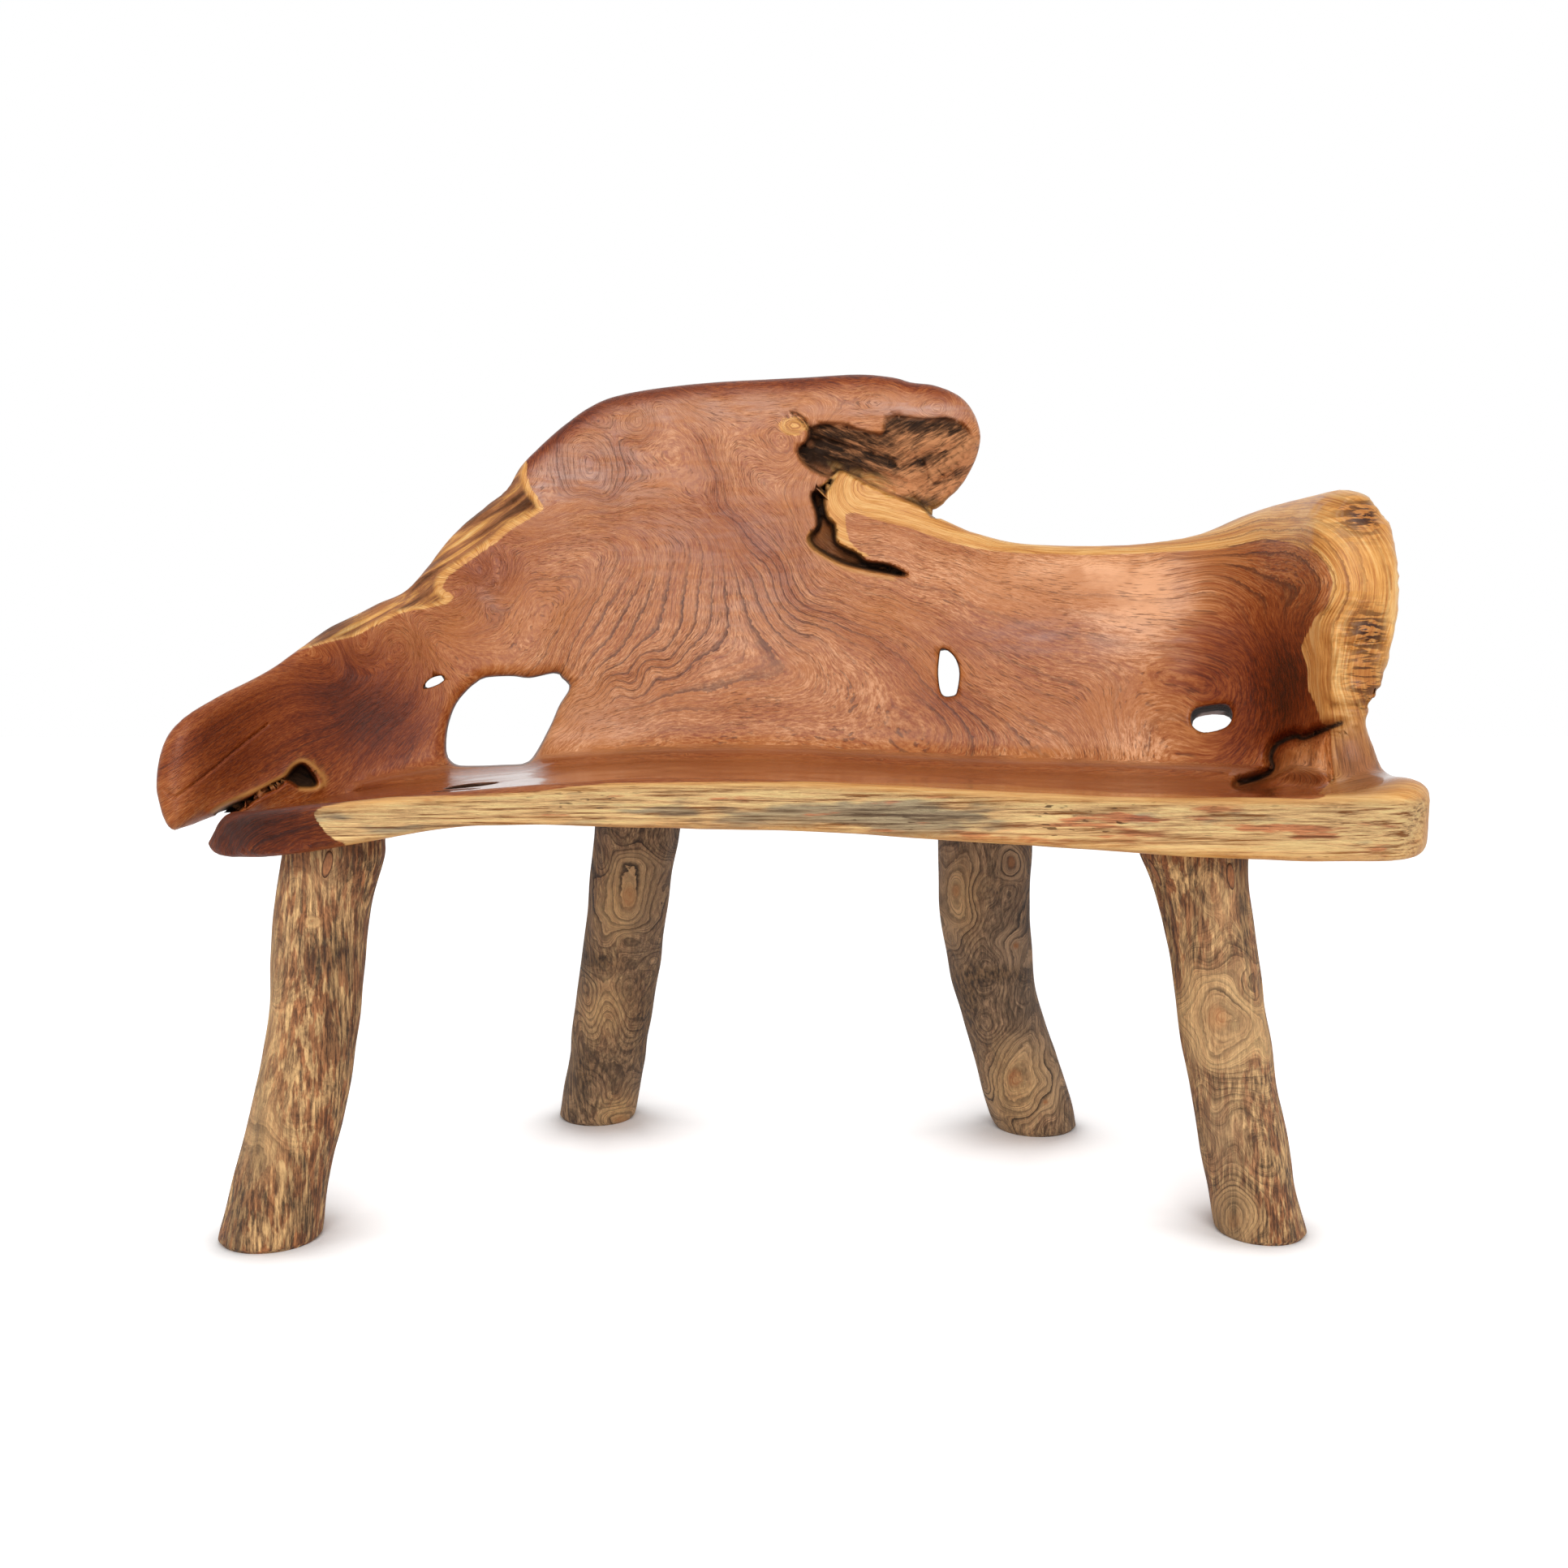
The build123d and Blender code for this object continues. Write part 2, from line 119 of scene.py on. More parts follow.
# Hollows, cracks and their rims, on the front chart
CAVITY = [(970, 507), (989, 515), (998, 525), (1013, 521), (1041, 523), (1057, 528), (1086, 533), (1089, 520),
    (1100, 511), (1120, 513), (1140, 515), (1163, 513), (1179, 518), (1190, 526), (1200, 536), (1216, 548),
    (1214, 566), (1204, 590), (1184, 612), (1156, 640), (1135, 626), (1108, 614), (1088, 606), (1066, 596),
    (1049, 586), (1035, 581), (1025, 588), (1013, 586), (997, 577), (987, 567), (982, 558), (984, 549),
    (991, 545), (995, 533), (990, 522)]
CREVICE = [(1027, 588), (1015, 596), (1000, 606), (999, 616), (1004, 632), (1005, 648), (997, 657),
    (994, 664), (999, 673), (1009, 681), (1033, 694), (1052, 700), (1080, 706), (1108, 711), (1119, 710),
    (1116, 705), (1102, 697), (1086, 692), (1068, 690), (1056, 680), (1041, 673), (1032, 667), (1031, 655),
    (1029, 645), (1021, 638), (1017, 624), (1017, 612), (1025, 598), (1034, 585)]
NOSE = [(1017, 624), (1017, 612), (1025, 598), (1033, 582), (1049, 586), (1088, 606), (1135, 626),
    (1180, 650), (1250, 690), (1180, 700), (1102, 697), (1068, 690), (1032, 667), (1029, 645)]
ARM_SHADOW = [(262, 1003), (274, 994), (290, 987), (306, 982), (325, 971), (338, 964), (350, 958), (359, 947),
    (366, 942), (373, 941), (379, 945), (385, 953), (391, 963), (389, 970), (378, 971), (368, 970),
    (360, 965), (352, 962), (346, 968), (336, 974), (325, 979), (312, 988), (300, 996), (288, 1003),
    (275, 1008)]
# The next two lines carry a painted highlight: the rims of the arm's arch and of the crevice
ARM_RIM = [(262, 1001), (275, 992), (300, 980), (335, 964), (351, 955), (361, 943), (372, 937), (383, 941),
    (393, 951), (400, 961), (397, 967), (385, 972), (370, 972)]
CREVICE_RIM = [(998, 657), (996, 666), (1001, 675), (1012, 684), (1033, 696), (1052, 703), (1080, 709),
    (1100, 713)]
ARM_CRACK = [(201, 972), (214, 982), (226, 975), (260, 949), (287, 926), (314, 905), (329, 893)]
CORNER_CRACK = [(1652, 891), (1636, 897), (1622, 903), (1606, 909), (1597, 907), (1584, 911), (1572, 919),
    (1566, 932), (1568, 945), (1562, 953), (1545, 960), (1527, 965)]
CORNER_LUMP = [(1588, 913), (1577, 925), (1577, 943), (1571, 956), (1573, 965), (1600, 967), (1638, 966),
    (1646, 940), (1640, 912), (1640, 899), (1620, 908)]
WEDGE_CRACK = [(1638, 899), (1636, 918), (1639, 945), (1641, 962)]

# The fold down the left edge, where the sapwood turns back
FOLD = [(684, 524), (664, 548), (650, 571), (646, 586), (652, 603), (664, 620), (664, 630), (648, 639),
    (626, 651), (609, 666), (589, 680), (567, 695), (548, 709), (540, 722), (545, 732), (553, 738),
    (541, 746), (519, 752), (490, 758), (462, 772), (433, 787), (409, 793), (368, 806)]
FOLD_BEYOND = [(300, 840), (300, 500), (640, 430)]

# Ridges (height over 0) and grooves (under 0) in the hollow and on the right rim:
# (height, half width, points)
HOLLOW_STROKES = [
    (5.0, 5, [(985, 514), (1000, 525), (1020, 533), (1045, 545), (1060, 552)]),
    (-6.0, 5, [(988, 549), (1012, 545), (1042, 552), (1075, 561), (1100, 573)]),
    (4.0, 6, [(990, 562), (1020, 558), (1062, 567), (1110, 585), (1133, 592)]),
    (-8.0, 3.5, [(1131, 557), (1135, 572), (1142, 587)]),
    (7.0, 9, [(1133, 604), (1156, 584), (1174, 566), (1192, 550), (1204, 540)]),
    (-5.0, 5, [(1143, 590), (1158, 570), (1172, 554), (1196, 532)]),
    (-10.0, 5, [(1090, 611), (1110, 617), (1135, 627), (1150, 635)]),
    (3.0, 5, [(1058, 536), (1090, 547), (1120, 552), (1150, 548)]),
]
RIM_STROKES = [
    (4.0, 7, [(1643, 778), (1648, 800), (1645, 830), (1640, 858)]),
    (4.0, 7, [(1640, 748), (1662, 738), (1690, 742)]),
    (-4.0, 6, [(1652, 790), (1660, 796), (1700, 790)]),
    (-3.0, 5, [(1640, 870), (1660, 874), (1690, 866)]),
    (-3.0, 3, [(1640, 903), (1655, 904), (1672, 899)]),
]
# Tones of the hollow: the rotted wood's own darker and lighter places, and a painted shadow line along its
# lower edge
HOLLOW_TONES_AND_SHADOW = [(1010, 528, 44, 15, -0.50), (1045, 545, 50, 12, -0.30), (1003, 566, 34, 20, -0.62),
    (1062, 572, 55, 11, -0.46), (1122, 624, 50, 10, -0.80), (1145, 560, 60, 40, 0.14),
    (1130, 600, 40, 14, 0.12), (1130, 521, 60, 12, -0.60), (1205, 575, 14, 40, 0.16)]

HOLLOW_FIBRES = [(0.92, -0.38), (0.87, 0.49)]  # the ways that the hollow's fibres run, as (X, Z)

SEAT_HOLE = (-327.0, -46.0, 26.0, 40.0)       # X, Y, half length, half width
SEAT_SLIT = (-333.0, -112.0, 20.0, 9.0)
SLIT_DEPTH = 9.0

# Stations of the slab: (X, front set-back, rear edge Y, top above SEAT_Z, thickness)
SLAB_FRONT_Y = -215.0
SLAB_STATIONS = [(-582, 92, -70, -34, 36), (-540, 50, -40, -28, 42), (-508, 24, 40, -22, 43),
    (-434, 6, 140, -13, 41), (-305, 2, 188, -1, 27), (-152, 0, 205, 11, 43), (24, 0, 212, 9, 44),
    (224, 2, 212, -3, 47), (401, 4, 205, -8, 55), (518, 4, 165, -6, 60), (595, 16, 110, -5, 62),
    (622, 30, 72, -8, 60), (634, 48, 50, -12, 54)]
ARM_END_Y = -88.0                             # where the arm stops in front, at seat level
WING_END_Y = -124.0                           # where the right end of the back stops, at seat level

# Forms of the slab, mm
BUTTRESS, BUTTRESS_RISE = (600.0, -138.0, 38.0, 60.0), 20.0       # X, Y, half widths; height over the seat
RIDGE_BACK, RIDGE_WIDTH, RIDGE_RISE = 22.0, 26.0, 5.0             # the rounded ridge behind the front edge
SEAT_DISH = 3.0                               # how far the seat lies under the stations' top
TIP_SLOPE, TIP_DROP, END_MARGIN = 0.72, 60.0, 9.0
FACE_LEAN = 0.16                              # how far the front edge falls back for each mm down
FACET, FACET_NORMAL = np.array([640.0, -160.0, SEAT_Z - 54]), np.array([0.8, -0.2, -0.6])
REAR_ROUND, TOP_ROUND, BOTTOM_ROUND, SHARP = 60.0, 16.0, 18.0, 6.0

# Relief of the back and its corner, mm
FOLD_RUN, FOLD_LIP = 26.0, 3.5                # how fast the wood turns back past the fold; the lip before it
NOSE_RISE, ARM_GAP_DEPTH, ARM_LIP, ARM_CRACK_DEPTH = 9.0, 24.0, 3.0, 2.6
CRUST, FLUTES, GROUND = 6.5, 5.5, 1.6         # heights of the hollow's, the fold's and the crevice's lumps
LUMP_RISE, WEDGE_DEPTH = 11.0, 3.0
CORNER_CRACK_DEPTH = (4.0, 9.0)               # at its outer end, and how much more further in
REAR_SWELL = 22.0                             # how much thicker the right end is at the rear
CHART_SLOPE = 0.86                            # mm at the back for each unit of the chart

# What the tables and the shell's mesh reach over
PLAN_SPAN = (-760, -320), (760, 420)          # low and high corner of the wall's tables, at seat level
CHART_SPAN = (180, 440), (1780, 1080)         # low and high corner of the growth table, on the chart
SHELL_SPAN = (-672, 666), (-231, 330), (354, 930)  # the X, Y and Z between which the shell is looked for

# Growth lines on the front chart: (level, points)
GROWTH = [
    (-24, [(648, 752), (672, 730), (690, 733), (697, 745), (686, 768), (668, 795)]),
    (-22, [(600, 738), (640, 722), (672, 708), (702, 702), (722, 713), (719, 728), (700, 752), (682, 790)]),
    (-19, [(596, 712), (640, 690), (690, 676), (745, 672), (752, 684), (740, 712), (727, 742), (706, 780),
           (690, 820)]),
    (-16, [(620, 676), (680, 660), (740, 655), (778, 668), (784, 700), (765, 740), (745, 775), (715, 815),
           (698, 842)]),
    (-13, [(640, 662), (700, 648), (760, 645), (800, 658), (815, 690), (805, 735), (792, 770), (765, 810),
           (730, 845), (690, 875)]),
    (-10, [(650, 652), (720, 636), (790, 634), (840, 652), (856, 690), (850, 735), (845, 775), (820, 810),
           (775, 840), (730, 862), (686, 893)]),
    (-7, [(650, 640), (730, 626), (810, 624), (862, 645), (884, 690), (884, 735), (880, 780), (850, 806),
          (800, 826), (760, 846), (715, 876), (680, 908)]),
    (-4, [(720, 616), (800, 612), (862, 630), (895, 662), (912, 705), (925, 750), (955, 790), (985, 815),
          (990, 840), (950, 850), (880, 862), (820, 868), (760, 884), (700, 915)]),
    (-2, [(872, 628), (905, 665), (930, 705), (948, 745), (985, 785), (1025, 815), (1050, 845), (1040, 868),
          (980, 880), (900, 886), (820, 892), (745, 912)]),
    (-1, [(1000, 772), (1050, 805), (1090, 850), (1100, 880), (1080, 900), (1000, 905), (900, 910),
          (800, 922)]),
    (0, [(830, 520), (862, 560), (876, 590), (880, 630), (915, 668), (950, 702), (960, 738),
         (998, 766), (1064, 795), (1110, 830), (1150, 870), (1175, 905), (1170, 925)]),
    (3, [(1040, 760), (1100, 785), (1145, 825), (1190, 870), (1228, 905), (1225, 932)]),
    (6, [(900, 560), (925, 620), (965, 665), (985, 705), (1005, 735), (1060, 752), (1120, 772), (1190, 845),
         (1260, 880), (1310, 905), (1325, 930)]),
    (9, [(940, 590), (975, 640), (1000, 690), (1040, 725), (1100, 745), (1200, 800), (1280, 850), (1345, 893),
         (1357, 930)]),
    (12, [(1060, 720), (1120, 740), (1200, 775), (1280, 805), (1360, 822), (1440, 832), (1480, 850)]),
    (16, [(1130, 715), (1220, 745), (1300, 770), (1380, 785), (1450, 790), (1500, 800)]),
    (20, [(1125, 690), (1220, 722), (1320, 742), (1420, 750), (1480, 752), (1520, 765)]),
    (24, [(1110, 668), (1180, 690), (1260, 712), (1340, 722), (1440, 722), (1490, 712), (1530, 725),
          (1550, 745)]),
    (29, [(1080, 650), (1160, 674), (1240, 694), (1340, 702), (1440, 698), (1500, 692), (1560, 706),
          (1600, 716), (1605, 732), (1590, 752)]),
    (34, [(1040, 632), (1164, 666), (1260, 682), (1350, 684), (1440, 680), (1504, 676), (1558, 668),
          (1590, 668), (1625, 690), (1641, 716), (1632, 743), (1618, 765)]),
    (39, [(1040, 600), (1100, 635), (1180, 658), (1250, 672), (1350, 677), (1440, 672), (1520, 660),
          (1580, 652), (1640, 668), (1660, 700), (1650, 760), (1640, 840)]),
    (44, [(1056, 594), (1135, 628), (1250, 668), (1440, 664), (1500, 652), (1560, 630), (1620, 628),
          (1670, 650), (1700, 700), (1690, 780), (1680, 860)]),
    (25, [(1560, 760), (1575, 800), (1585, 840), (1590, 890)]),
    (31, [(1600, 780), (1612, 820), (1615, 860), (1612, 900)]),
    (14, [(1400, 880), (1450, 865)]),
    (17, [(1440, 945), (1500, 935), (1535, 905), (1545, 860), (1535, 810)]),
    (4, [(700, 540), (728, 535), (752, 560), (755, 590), (740, 612), (712, 608), (700, 580)]),
    (8, [(728, 560), (732, 580)]),
    (0, [(690, 520), (735, 512), (775, 545), (790, 580), (770, 602), (690, 600), (680, 555)]),
    (-1, [(776, 506), (806, 549), (814, 579), (799, 600), (666, 632)]),
    (-1, [(810, 505), (845, 550), (855, 590), (850, 612)]),
    (14, [(760, 486), (860, 474), (960, 468), (1060, 468), (1130, 478), (1180, 496)]),
    (9, [(780, 512), (900, 492), (1000, 488), (1080, 500), (1160, 505)]),
    (5, [(905, 530), (940, 548), (975, 562)]),
    (-12, [(560, 716), (610, 690), (650, 655)]),
    (-8, [(548, 740), (575, 722), (600, 718)]),
    (-22, [(520, 790), (560, 780), (610, 760)]),
    (-14, [(440, 800), (500, 770), (545, 752)]),
    (-24, [(540, 815), (560, 850), (545, 900), (530, 935)]),
    (-16, [(512, 852), (480, 885), (440, 920), (412, 951)]),
    (-10, [(240, 1000), (310, 950), (370, 915), (420, 895), (450, 870), (500, 825)]),
    (-2, [(215, 960), (290, 905), (370, 862), (450, 825), (500, 795)]),
    (6, [(240, 890), (330, 843), (420, 805)]),
]
WING_LEVEL, WING_SHARE = 12.0, 0.45           # levels over this one are pressed together, to this share
LINE_PEAK = 0.94                              # where in a growth ring its dark line is darkest, from 0 to 1
SAP_LOOP = [(560, 440), (650, 571), (649, 586), (655, 603), (669, 622), (669, 628), (653, 639), (631, 651),
    (614, 666), (594, 680), (573, 695), (553, 709), (544, 724), (551, 730), (563, 731), (553, 743),
    (529, 749), (495, 755), (466, 769), (437, 784), (413, 789), (371, 800), (300, 800), (300, 440)]
SAP_WING = [(1010, 560), (1030, 582), (1010, 600), (1012, 630), (1025, 650), (1028, 668), (1040, 678),
    (1062, 686), (1074, 686), (1058, 678), (1047, 668), (1043, 655), (1041, 632), (1056, 632), (1080, 641),
    (1124, 651), (1164, 666), (1205, 676), (1260, 682), (1350, 684), (1440, 680), (1504, 676), (1540, 668),
    (1570, 665), (1592, 670), (1622, 682), (1637, 698), (1643, 718), (1640, 732), (1634, 748), (1620, 762),
    (1614, 775), (1605, 790), (1604, 801), (1612, 824), (1612, 850), (1622, 870), (1628, 890), (1640, 897),
    (1640, 930), (1643, 960), (1630, 972), (1622, 981), (1700, 1100), (1900, 1000), (1800, 500), (1200, 560)]
SAP_FRONT = [(386, 1004), (388, 999), (400, 993), (429, 988), (480, 982), (596, 979), (659, 976), (698, 970),
    (755, 965), (1000, 963), (1200, 966), (1350, 975), (1480, 981), (1622, 985), (1700, 960), (1900, 1000),
    (1800, 1150), (500, 1150), (440, 1060), (425, 1039), (412, 1036), (402, 1027), (394, 1016)]

PALE_KNOT = (977, 525, 19, 12)                # centre and half sizes, on the chart
# Patches of the chart: lighter and darker heartwood with painted highlight and shade, clear growth lines,
# dull wood, painted sheen, grey and red places of the front edge, lighter and darker seat, and rough places
# of the rim
HEART_AND_LIGHT_TONES = [(300, 930, 150, 90, -0.33), (430, 850, 100, 76, -0.34), (480, 900, 60, 50, -0.28),
    (600, 700, 70, 44, -0.24), (590, 800, 44, 50, -0.10), (1590, 840, 46, 90, -0.47),
    (1530, 850, 70, 110, -0.30), (1560, 710, 110, 45, -0.07), (1300, 790, 160, 30, -0.16),
    (1180, 860, 40, 24, -0.16), (1410, 750, 70, 60, 0.42), (1290, 712, 120, 28, 0.27),
    (1420, 900, 90, 40, 0.10), (870, 660, 110, 50, -0.14), (1605, 942, 34, 22, 0.40),
    (1480, 795, 46, 56, -0.14), (1535, 925, 46, 30, -0.10), (1410, 925, 34, 16, 0.16),
    (620, 905, 30, 30, -0.04), (700, 880, 60, 40, 0.18), (735, 570, 50, 50, -0.06),
    (1260, 780, 60, 40, -0.06), (930, 650, 60, 60, -0.05), (750, 895, 60, 40, 0.06)]
LINE_SPOTS = [(735, 570, 64, 56, 0.55), (820, 790, 160, 115, 0.95), (1565, 700, 90, 60, 0.9),
    (1640, 720, 60, 70, 0.7), (1500, 650, 110, 20, 0.6), (980, 730, 90, 90, 0.40), (1230, 880, 160, 50, 0.45),
    (330, 1030, 80, 30, 0.6), (330, 920, 150, 70, 0.5), (1605, 942, 40, 24, 0.6), (460, 880, 60, 60, 0.4),
    (900, 560, 70, 70, 0.25), (1250, 750, 160, 60, 0.25), (1120, 640, 60, 24, 0.3)]
DULL_SPOTS = [(1664, 925, 36, 40, 1.0), (1694, 955, 40, 20, 0.8), (1640, 975, 60, 8, 0.3)]
# Painted sheen: pale patches that stand in for the polished back reflecting the light
PAINTED_SHEEN = [(850, 640, 210, 110, 0.30), (738, 576, 60, 44, 0.55), (1135, 504, 80, 12, 0.85),
    (860, 500, 170, 26, 0.5), (660, 600, 16, 26, 0.8), (688, 590, 20, 34, 0.5), (1320, 785, 130, 26, 0.45),
    (930, 760, 90, 60, 0.25), (1452, 740, 22, 90, 0.35), (604, 735, 16, 14, 0.5), (750, 890, 60, 36, 0.25)]
FRONT_GREY = [(950, 1002, 60, 12, 0.8), (720, 1010, 90, 22, 0.5), (860, 1012, 60, 20, 0.65),
    (1115, 1012, 60, 24, 0.95), (985, 1014, 60, 18, 0.75), (560, 1024, 60, 10, 0.4),
    (1240, 1030, 50, 12, 0.5), (1405, 1012, 40, 10, 0.4)]
FRONT_FLUSH = [(1330, 1022, 90, 18, 0.7), (1470, 1006, 90, 14, 0.3), (1590, 1022, 70, 16, 0.55),
    (1180, 1034, 60, 12, 0.5), (960, 1002, 60, 12, 0.4)]
SEAT_TONES = [(320, 1010, 100, 60, -0.42), (1500, 985, 160, 20, -0.12), (480, 980, 120, 14, -0.16)]
RAW_PATCHES = [(1680, 636, 34, 24, 1.0), (1688, 775, 30, 26, 1.0), (1680, 835, 24, 36, 0.9)]

# ---------------------------------------------------------------- legs
# Name: head centre, head height, stations (share of the way down, shift X, shift Y, half width X, half
# width Y), bearings of its plugs and how far below the head they sit
LEG_STRAIGHT = 17.0                           # how far the head goes down straight
LEG_SOLE = 4.0                                # height of the eased edge of the sole
LEG_SOLE_FLAT = 0.93                          # how much of the sole is flat, as a share of its half widths
LEG_RADIUS = 45.0                             # a middling half width
LEG_RINGS, LEG_AROUND = 170, 120              # corners of a leg's mesh, down its side and round it
LEGS = {
    "leg_front_left": ((-452, -112), 391.2,
        [(0, 0, 0, 50, 48), (.16, -10, -4, 46, 45), (.36, -14, -12, 45, 45), (.52, -18, -20, 45, 46),
         (.70, -29, -28, 45, 46), (.85, -42, -34, 46, 47), (1, -51, -38, 49, 48)], (10, 130, 250), 25),
    "leg_front_right": ((414, -104), 385.8,
        [(0, 0, 0, 54, 49), (.10, 8, -2, 46, 46), (.26, 18, -6, 44, 45), (.44, 25, -12, 43, 45),
         (.64, 35, -18, 43, 45), (.84, 47, -24, 43, 45), (1, 58, -28, 44, 46)], (-70, 25, 160), 33),
    "leg_back_left": ((-164, 118), 416.0,
        [(0, 0, 0, 51, 46), (.20, -14, 24, 48, 45), (.40, -25, 50, 47, 45), (.60, -37, 78, 47, 45),
         (.80, -51, 106, 46, 46), (1, -66, 132, 46, 46)], (-15, 105, 255), 25),
    "leg_back_right": ((232, 112), 397.5,
        [(0, 0, 0, 56, 50), (.20, 0, 14, 53, 49), (.38, 5, 32, 51, 48), (.56, 19, 50, 48, 48),
         (.76, 42, 72, 49, 48), (.90, 60, 88, 50, 49), (1, 71, 98, 49, 49)], (-20, 45, 170), 26),
}
# Looks of each leg: how many growth levels its lumps swing over, how golden and how lined it is, its knots
# (X, Y, half width, half height, rings) and chart patches of dark, calm, more lined and more golden wood
LEG_LOOKS = {
    "leg_front_left": {
        "lines": 3.0, "warmth": 0.92, "ringed": 0.25,
        "knots": [(385, 1136, 12, 9, 2.0)],
        "dark": [(415, 1180, 26, 36, 0.8), (412, 1280, 24, 40, 0.6), (370, 1470, 30, 60, 0.35)],
        "calm": [(325, 1200, 24, 130, 0.9), (320, 1400, 34, 60, 0.9), (395, 1085, 30, 20, 0.5)],
        "rings": [(320, 1300, 30, 120, 0.35), (330, 1420, 30, 40, 0.3)],
        "warm": []},
    "leg_front_right": {
        "lines": 5.0, "warmth": 0.92, "ringed": 0.35,
        "knots": [(1500, 1255, 60, 75, 8.0), (1520, 1505, 34, 55, 7.0)],
        "dark": [(1440, 1150, 16, 40, 0.4), (1520, 1500, 12, 30, 0.8)],
        "calm": [(1500, 1250, 52, 60, 1.0), (1505, 1395, 30, 50, 0.7), (1505, 1120, 20, 40, 0.5)],
        "rings": [(1500, 1235, 60, 75, 0.35), (1510, 1350, 26, 40, 0.6), (1520, 1470, 46, 40, 0.8)],
        "warm": [(1500, 1400, 40, 60, -0.3)]},
    "leg_back_left": {
        "lines": 5.5, "warmth": 0.14, "ringed": 1.0,
        "knots": [(775, 1105, 48, 70, 8.0), (768, 1380, 40, 20, 4.0)],
        "dark": [(716, 1330, 22, 40, 0.7), (800, 1270, 20, 50, 0.6), (735, 1185, 40, 14, 0.6)],
        "calm": [(775, 1110, 45, 60, 0.9), (745, 1240, 40, 45, 0.9), (770, 1360, 40, 40, 0.6)],
        "rings": [],
        "warm": [(775, 1105, 45, 55, 0.6), (745, 1245, 36, 45, 0.6), (770, 1370, 40, 24, 0.6)]},
    "leg_back_right": {
        "lines": 5.5, "warmth": 0.14, "ringed": 1.0,
        "knots": [(1178, 1098, 36, 62, 6.0), (1252, 1165, 22, 24, 4.0), (1250, 1330, 52, 62, 7.0),
            (1288, 1358, 12, 12, 3.0), (1246, 1062, 18, 30, 4.0)],
        "dark": [(1190, 1230, 20, 40, 0.6), (1230, 1200, 40, 10, 0.6)],
        "calm": [(1186, 1110, 34, 60, 0.9), (1250, 1330, 50, 55, 1.0), (1248, 1065, 16, 30, 0.7)],
        "rings": [],
        "warm": [(1185, 1105, 34, 50, 0.4), (1250, 1330, 40, 55, 0.7)]},
}

# Rings of a plug's face, out from its middle and back underneath: share of its half sizes, mm over the leg
PLUG_RINGS = [(0.02, 0.7), (0.35, 0.7), (0.7, 0.6), (0.9, 0.45), (1.0, 0.1), (1.0, -2.0), (0.6, -2.2),
    (0.02, -2.2)]
PLUG_AROUND = 32                              # corners of each ring
PLUG_RADIUS = 47.0                            # half width of a leg where its plugs sit

# ---------------------------------------------------------------- stage
AMBIENT = 0.62                                # light from all round
KEY_POWER, KEY_SIZE = 70.0, 2.0               # W and m
KEY_PLACE, KEY_AIM = (0.1, -3.0, 2.3), (0.0, 0.0, 0.5)
FLOOR_LIFT, CONTACT = 0.6, 0.16               # added where the camera looks at the floor, m from a foot
BACKDROP_Y = 3.2
FLOOR_SIDE, BACKDROP_SIDE, BACKDROP_Z = 15, 7, (0.3, 5)  # m; the backdrop's foot is clear of the floor
SENSOR = 36.0                                 # mm


# ---------------------------------------------------------------- whole-array helpers
def smooth_step(low, high, value):
    """0 below low, 1 above high, and an S-curve between them."""
    t = np.clip((value - low) / (high - low), 0.0, 1.0)
    return t * t * (3 - 2 * t)


def smooth_min(a, b, width):
    """The smaller of two distances, rounded over where they differ by less than width."""
    h = np.maximum(width - np.abs(a - b), 0.0) / np.maximum(width, 1e-6)
    return np.minimum(a, b) - h * h * width / 4


def smooth_max(a, b, width):
    """The larger of two distances, rounded over where they differ by less than width."""
    return -smooth_min(-a, -b, width)


def bell(gap, width):
    """1 where the gap is 0, and 1/e where it is as large as the width."""
    return np.exp(-(gap / width) ** 2)


def spot(a, b, centre_a, centre_b, wide, tall):
    """A bell over two coordinates, 1 at its centre."""
    return np.exp(-((a - centre_a) / wide) ** 2 - ((b - centre_b) / tall) ** 2)


def patches(a, b, spots):
    """The sum of bell-shaped spots: (centre, centre, half width, half height, amount)."""
    total = np.zeros_like(a)
    for *place, amount in spots:
        total = total + amount * spot(a, b, *place)
    return total


def oval_gap(x, y, centre_x, centre_y, long, wide):
    """About how far outside an oval's edge each place is, negative inside."""
    return (np.hypot((x - centre_x) / long, (y - centre_y) / wide) - 1) * min(long, wide)


def curve(points, closed=False, steps=6):
    """A Catmull-Rom curve through the points: cubic spans whose ends point along their neighbours."""
    p = np.array(points, float)
    if closed:
        before, start, end, after = np.roll(p, 1, 0), p, np.roll(p, -1, 0), np.roll(p, -2, 0)
    else:
        ends = np.vstack([2 * p[0] - p[1], p, 2 * p[-1] - p[-2]])
        before, start, end, after = ends[:-3], ends[1:-2], ends[2:-1], ends[3:]
    t = (np.arange(steps) / steps)[None, :, None]
    before, start, end, after = (q[:, None, :] for q in (before, start, end, after))
    cubic = (2 * start + (end - before) * t + (2 * before - 5 * start + 4 * end - after) * t**2
             + (3 * start - before - 3 * end + after) * t**3) / 2
    line = cubic.reshape(-1, p.shape[1])
    return line if closed else np.vstack([line, p[-1]])


def line_distance(points, line, closed=False):
    """Distance from each point to a run of straight spans, with the nearest span and the share along it."""
    start = line if closed else line[:-1]
    span = (np.roll(line, -1, 0) if closed else line[1:]) - start
    best = np.full(len(points), np.inf)
    nearest = np.zeros(len(points), int)
    share = np.zeros(len(points))
    for i, (origin, step) in enumerate(zip(start, span)):
        t = np.clip((points - origin) @ step / max(step @ step, 1e-9), 0, 1)
        gap = np.hypot(*(points - origin - t[:, None] * step).T)
        closer = gap < best
        best = np.where(closer, gap, best)
        nearest = np.where(closer, i, nearest)
        share = np.where(closer, t, share)
    return best, nearest, share


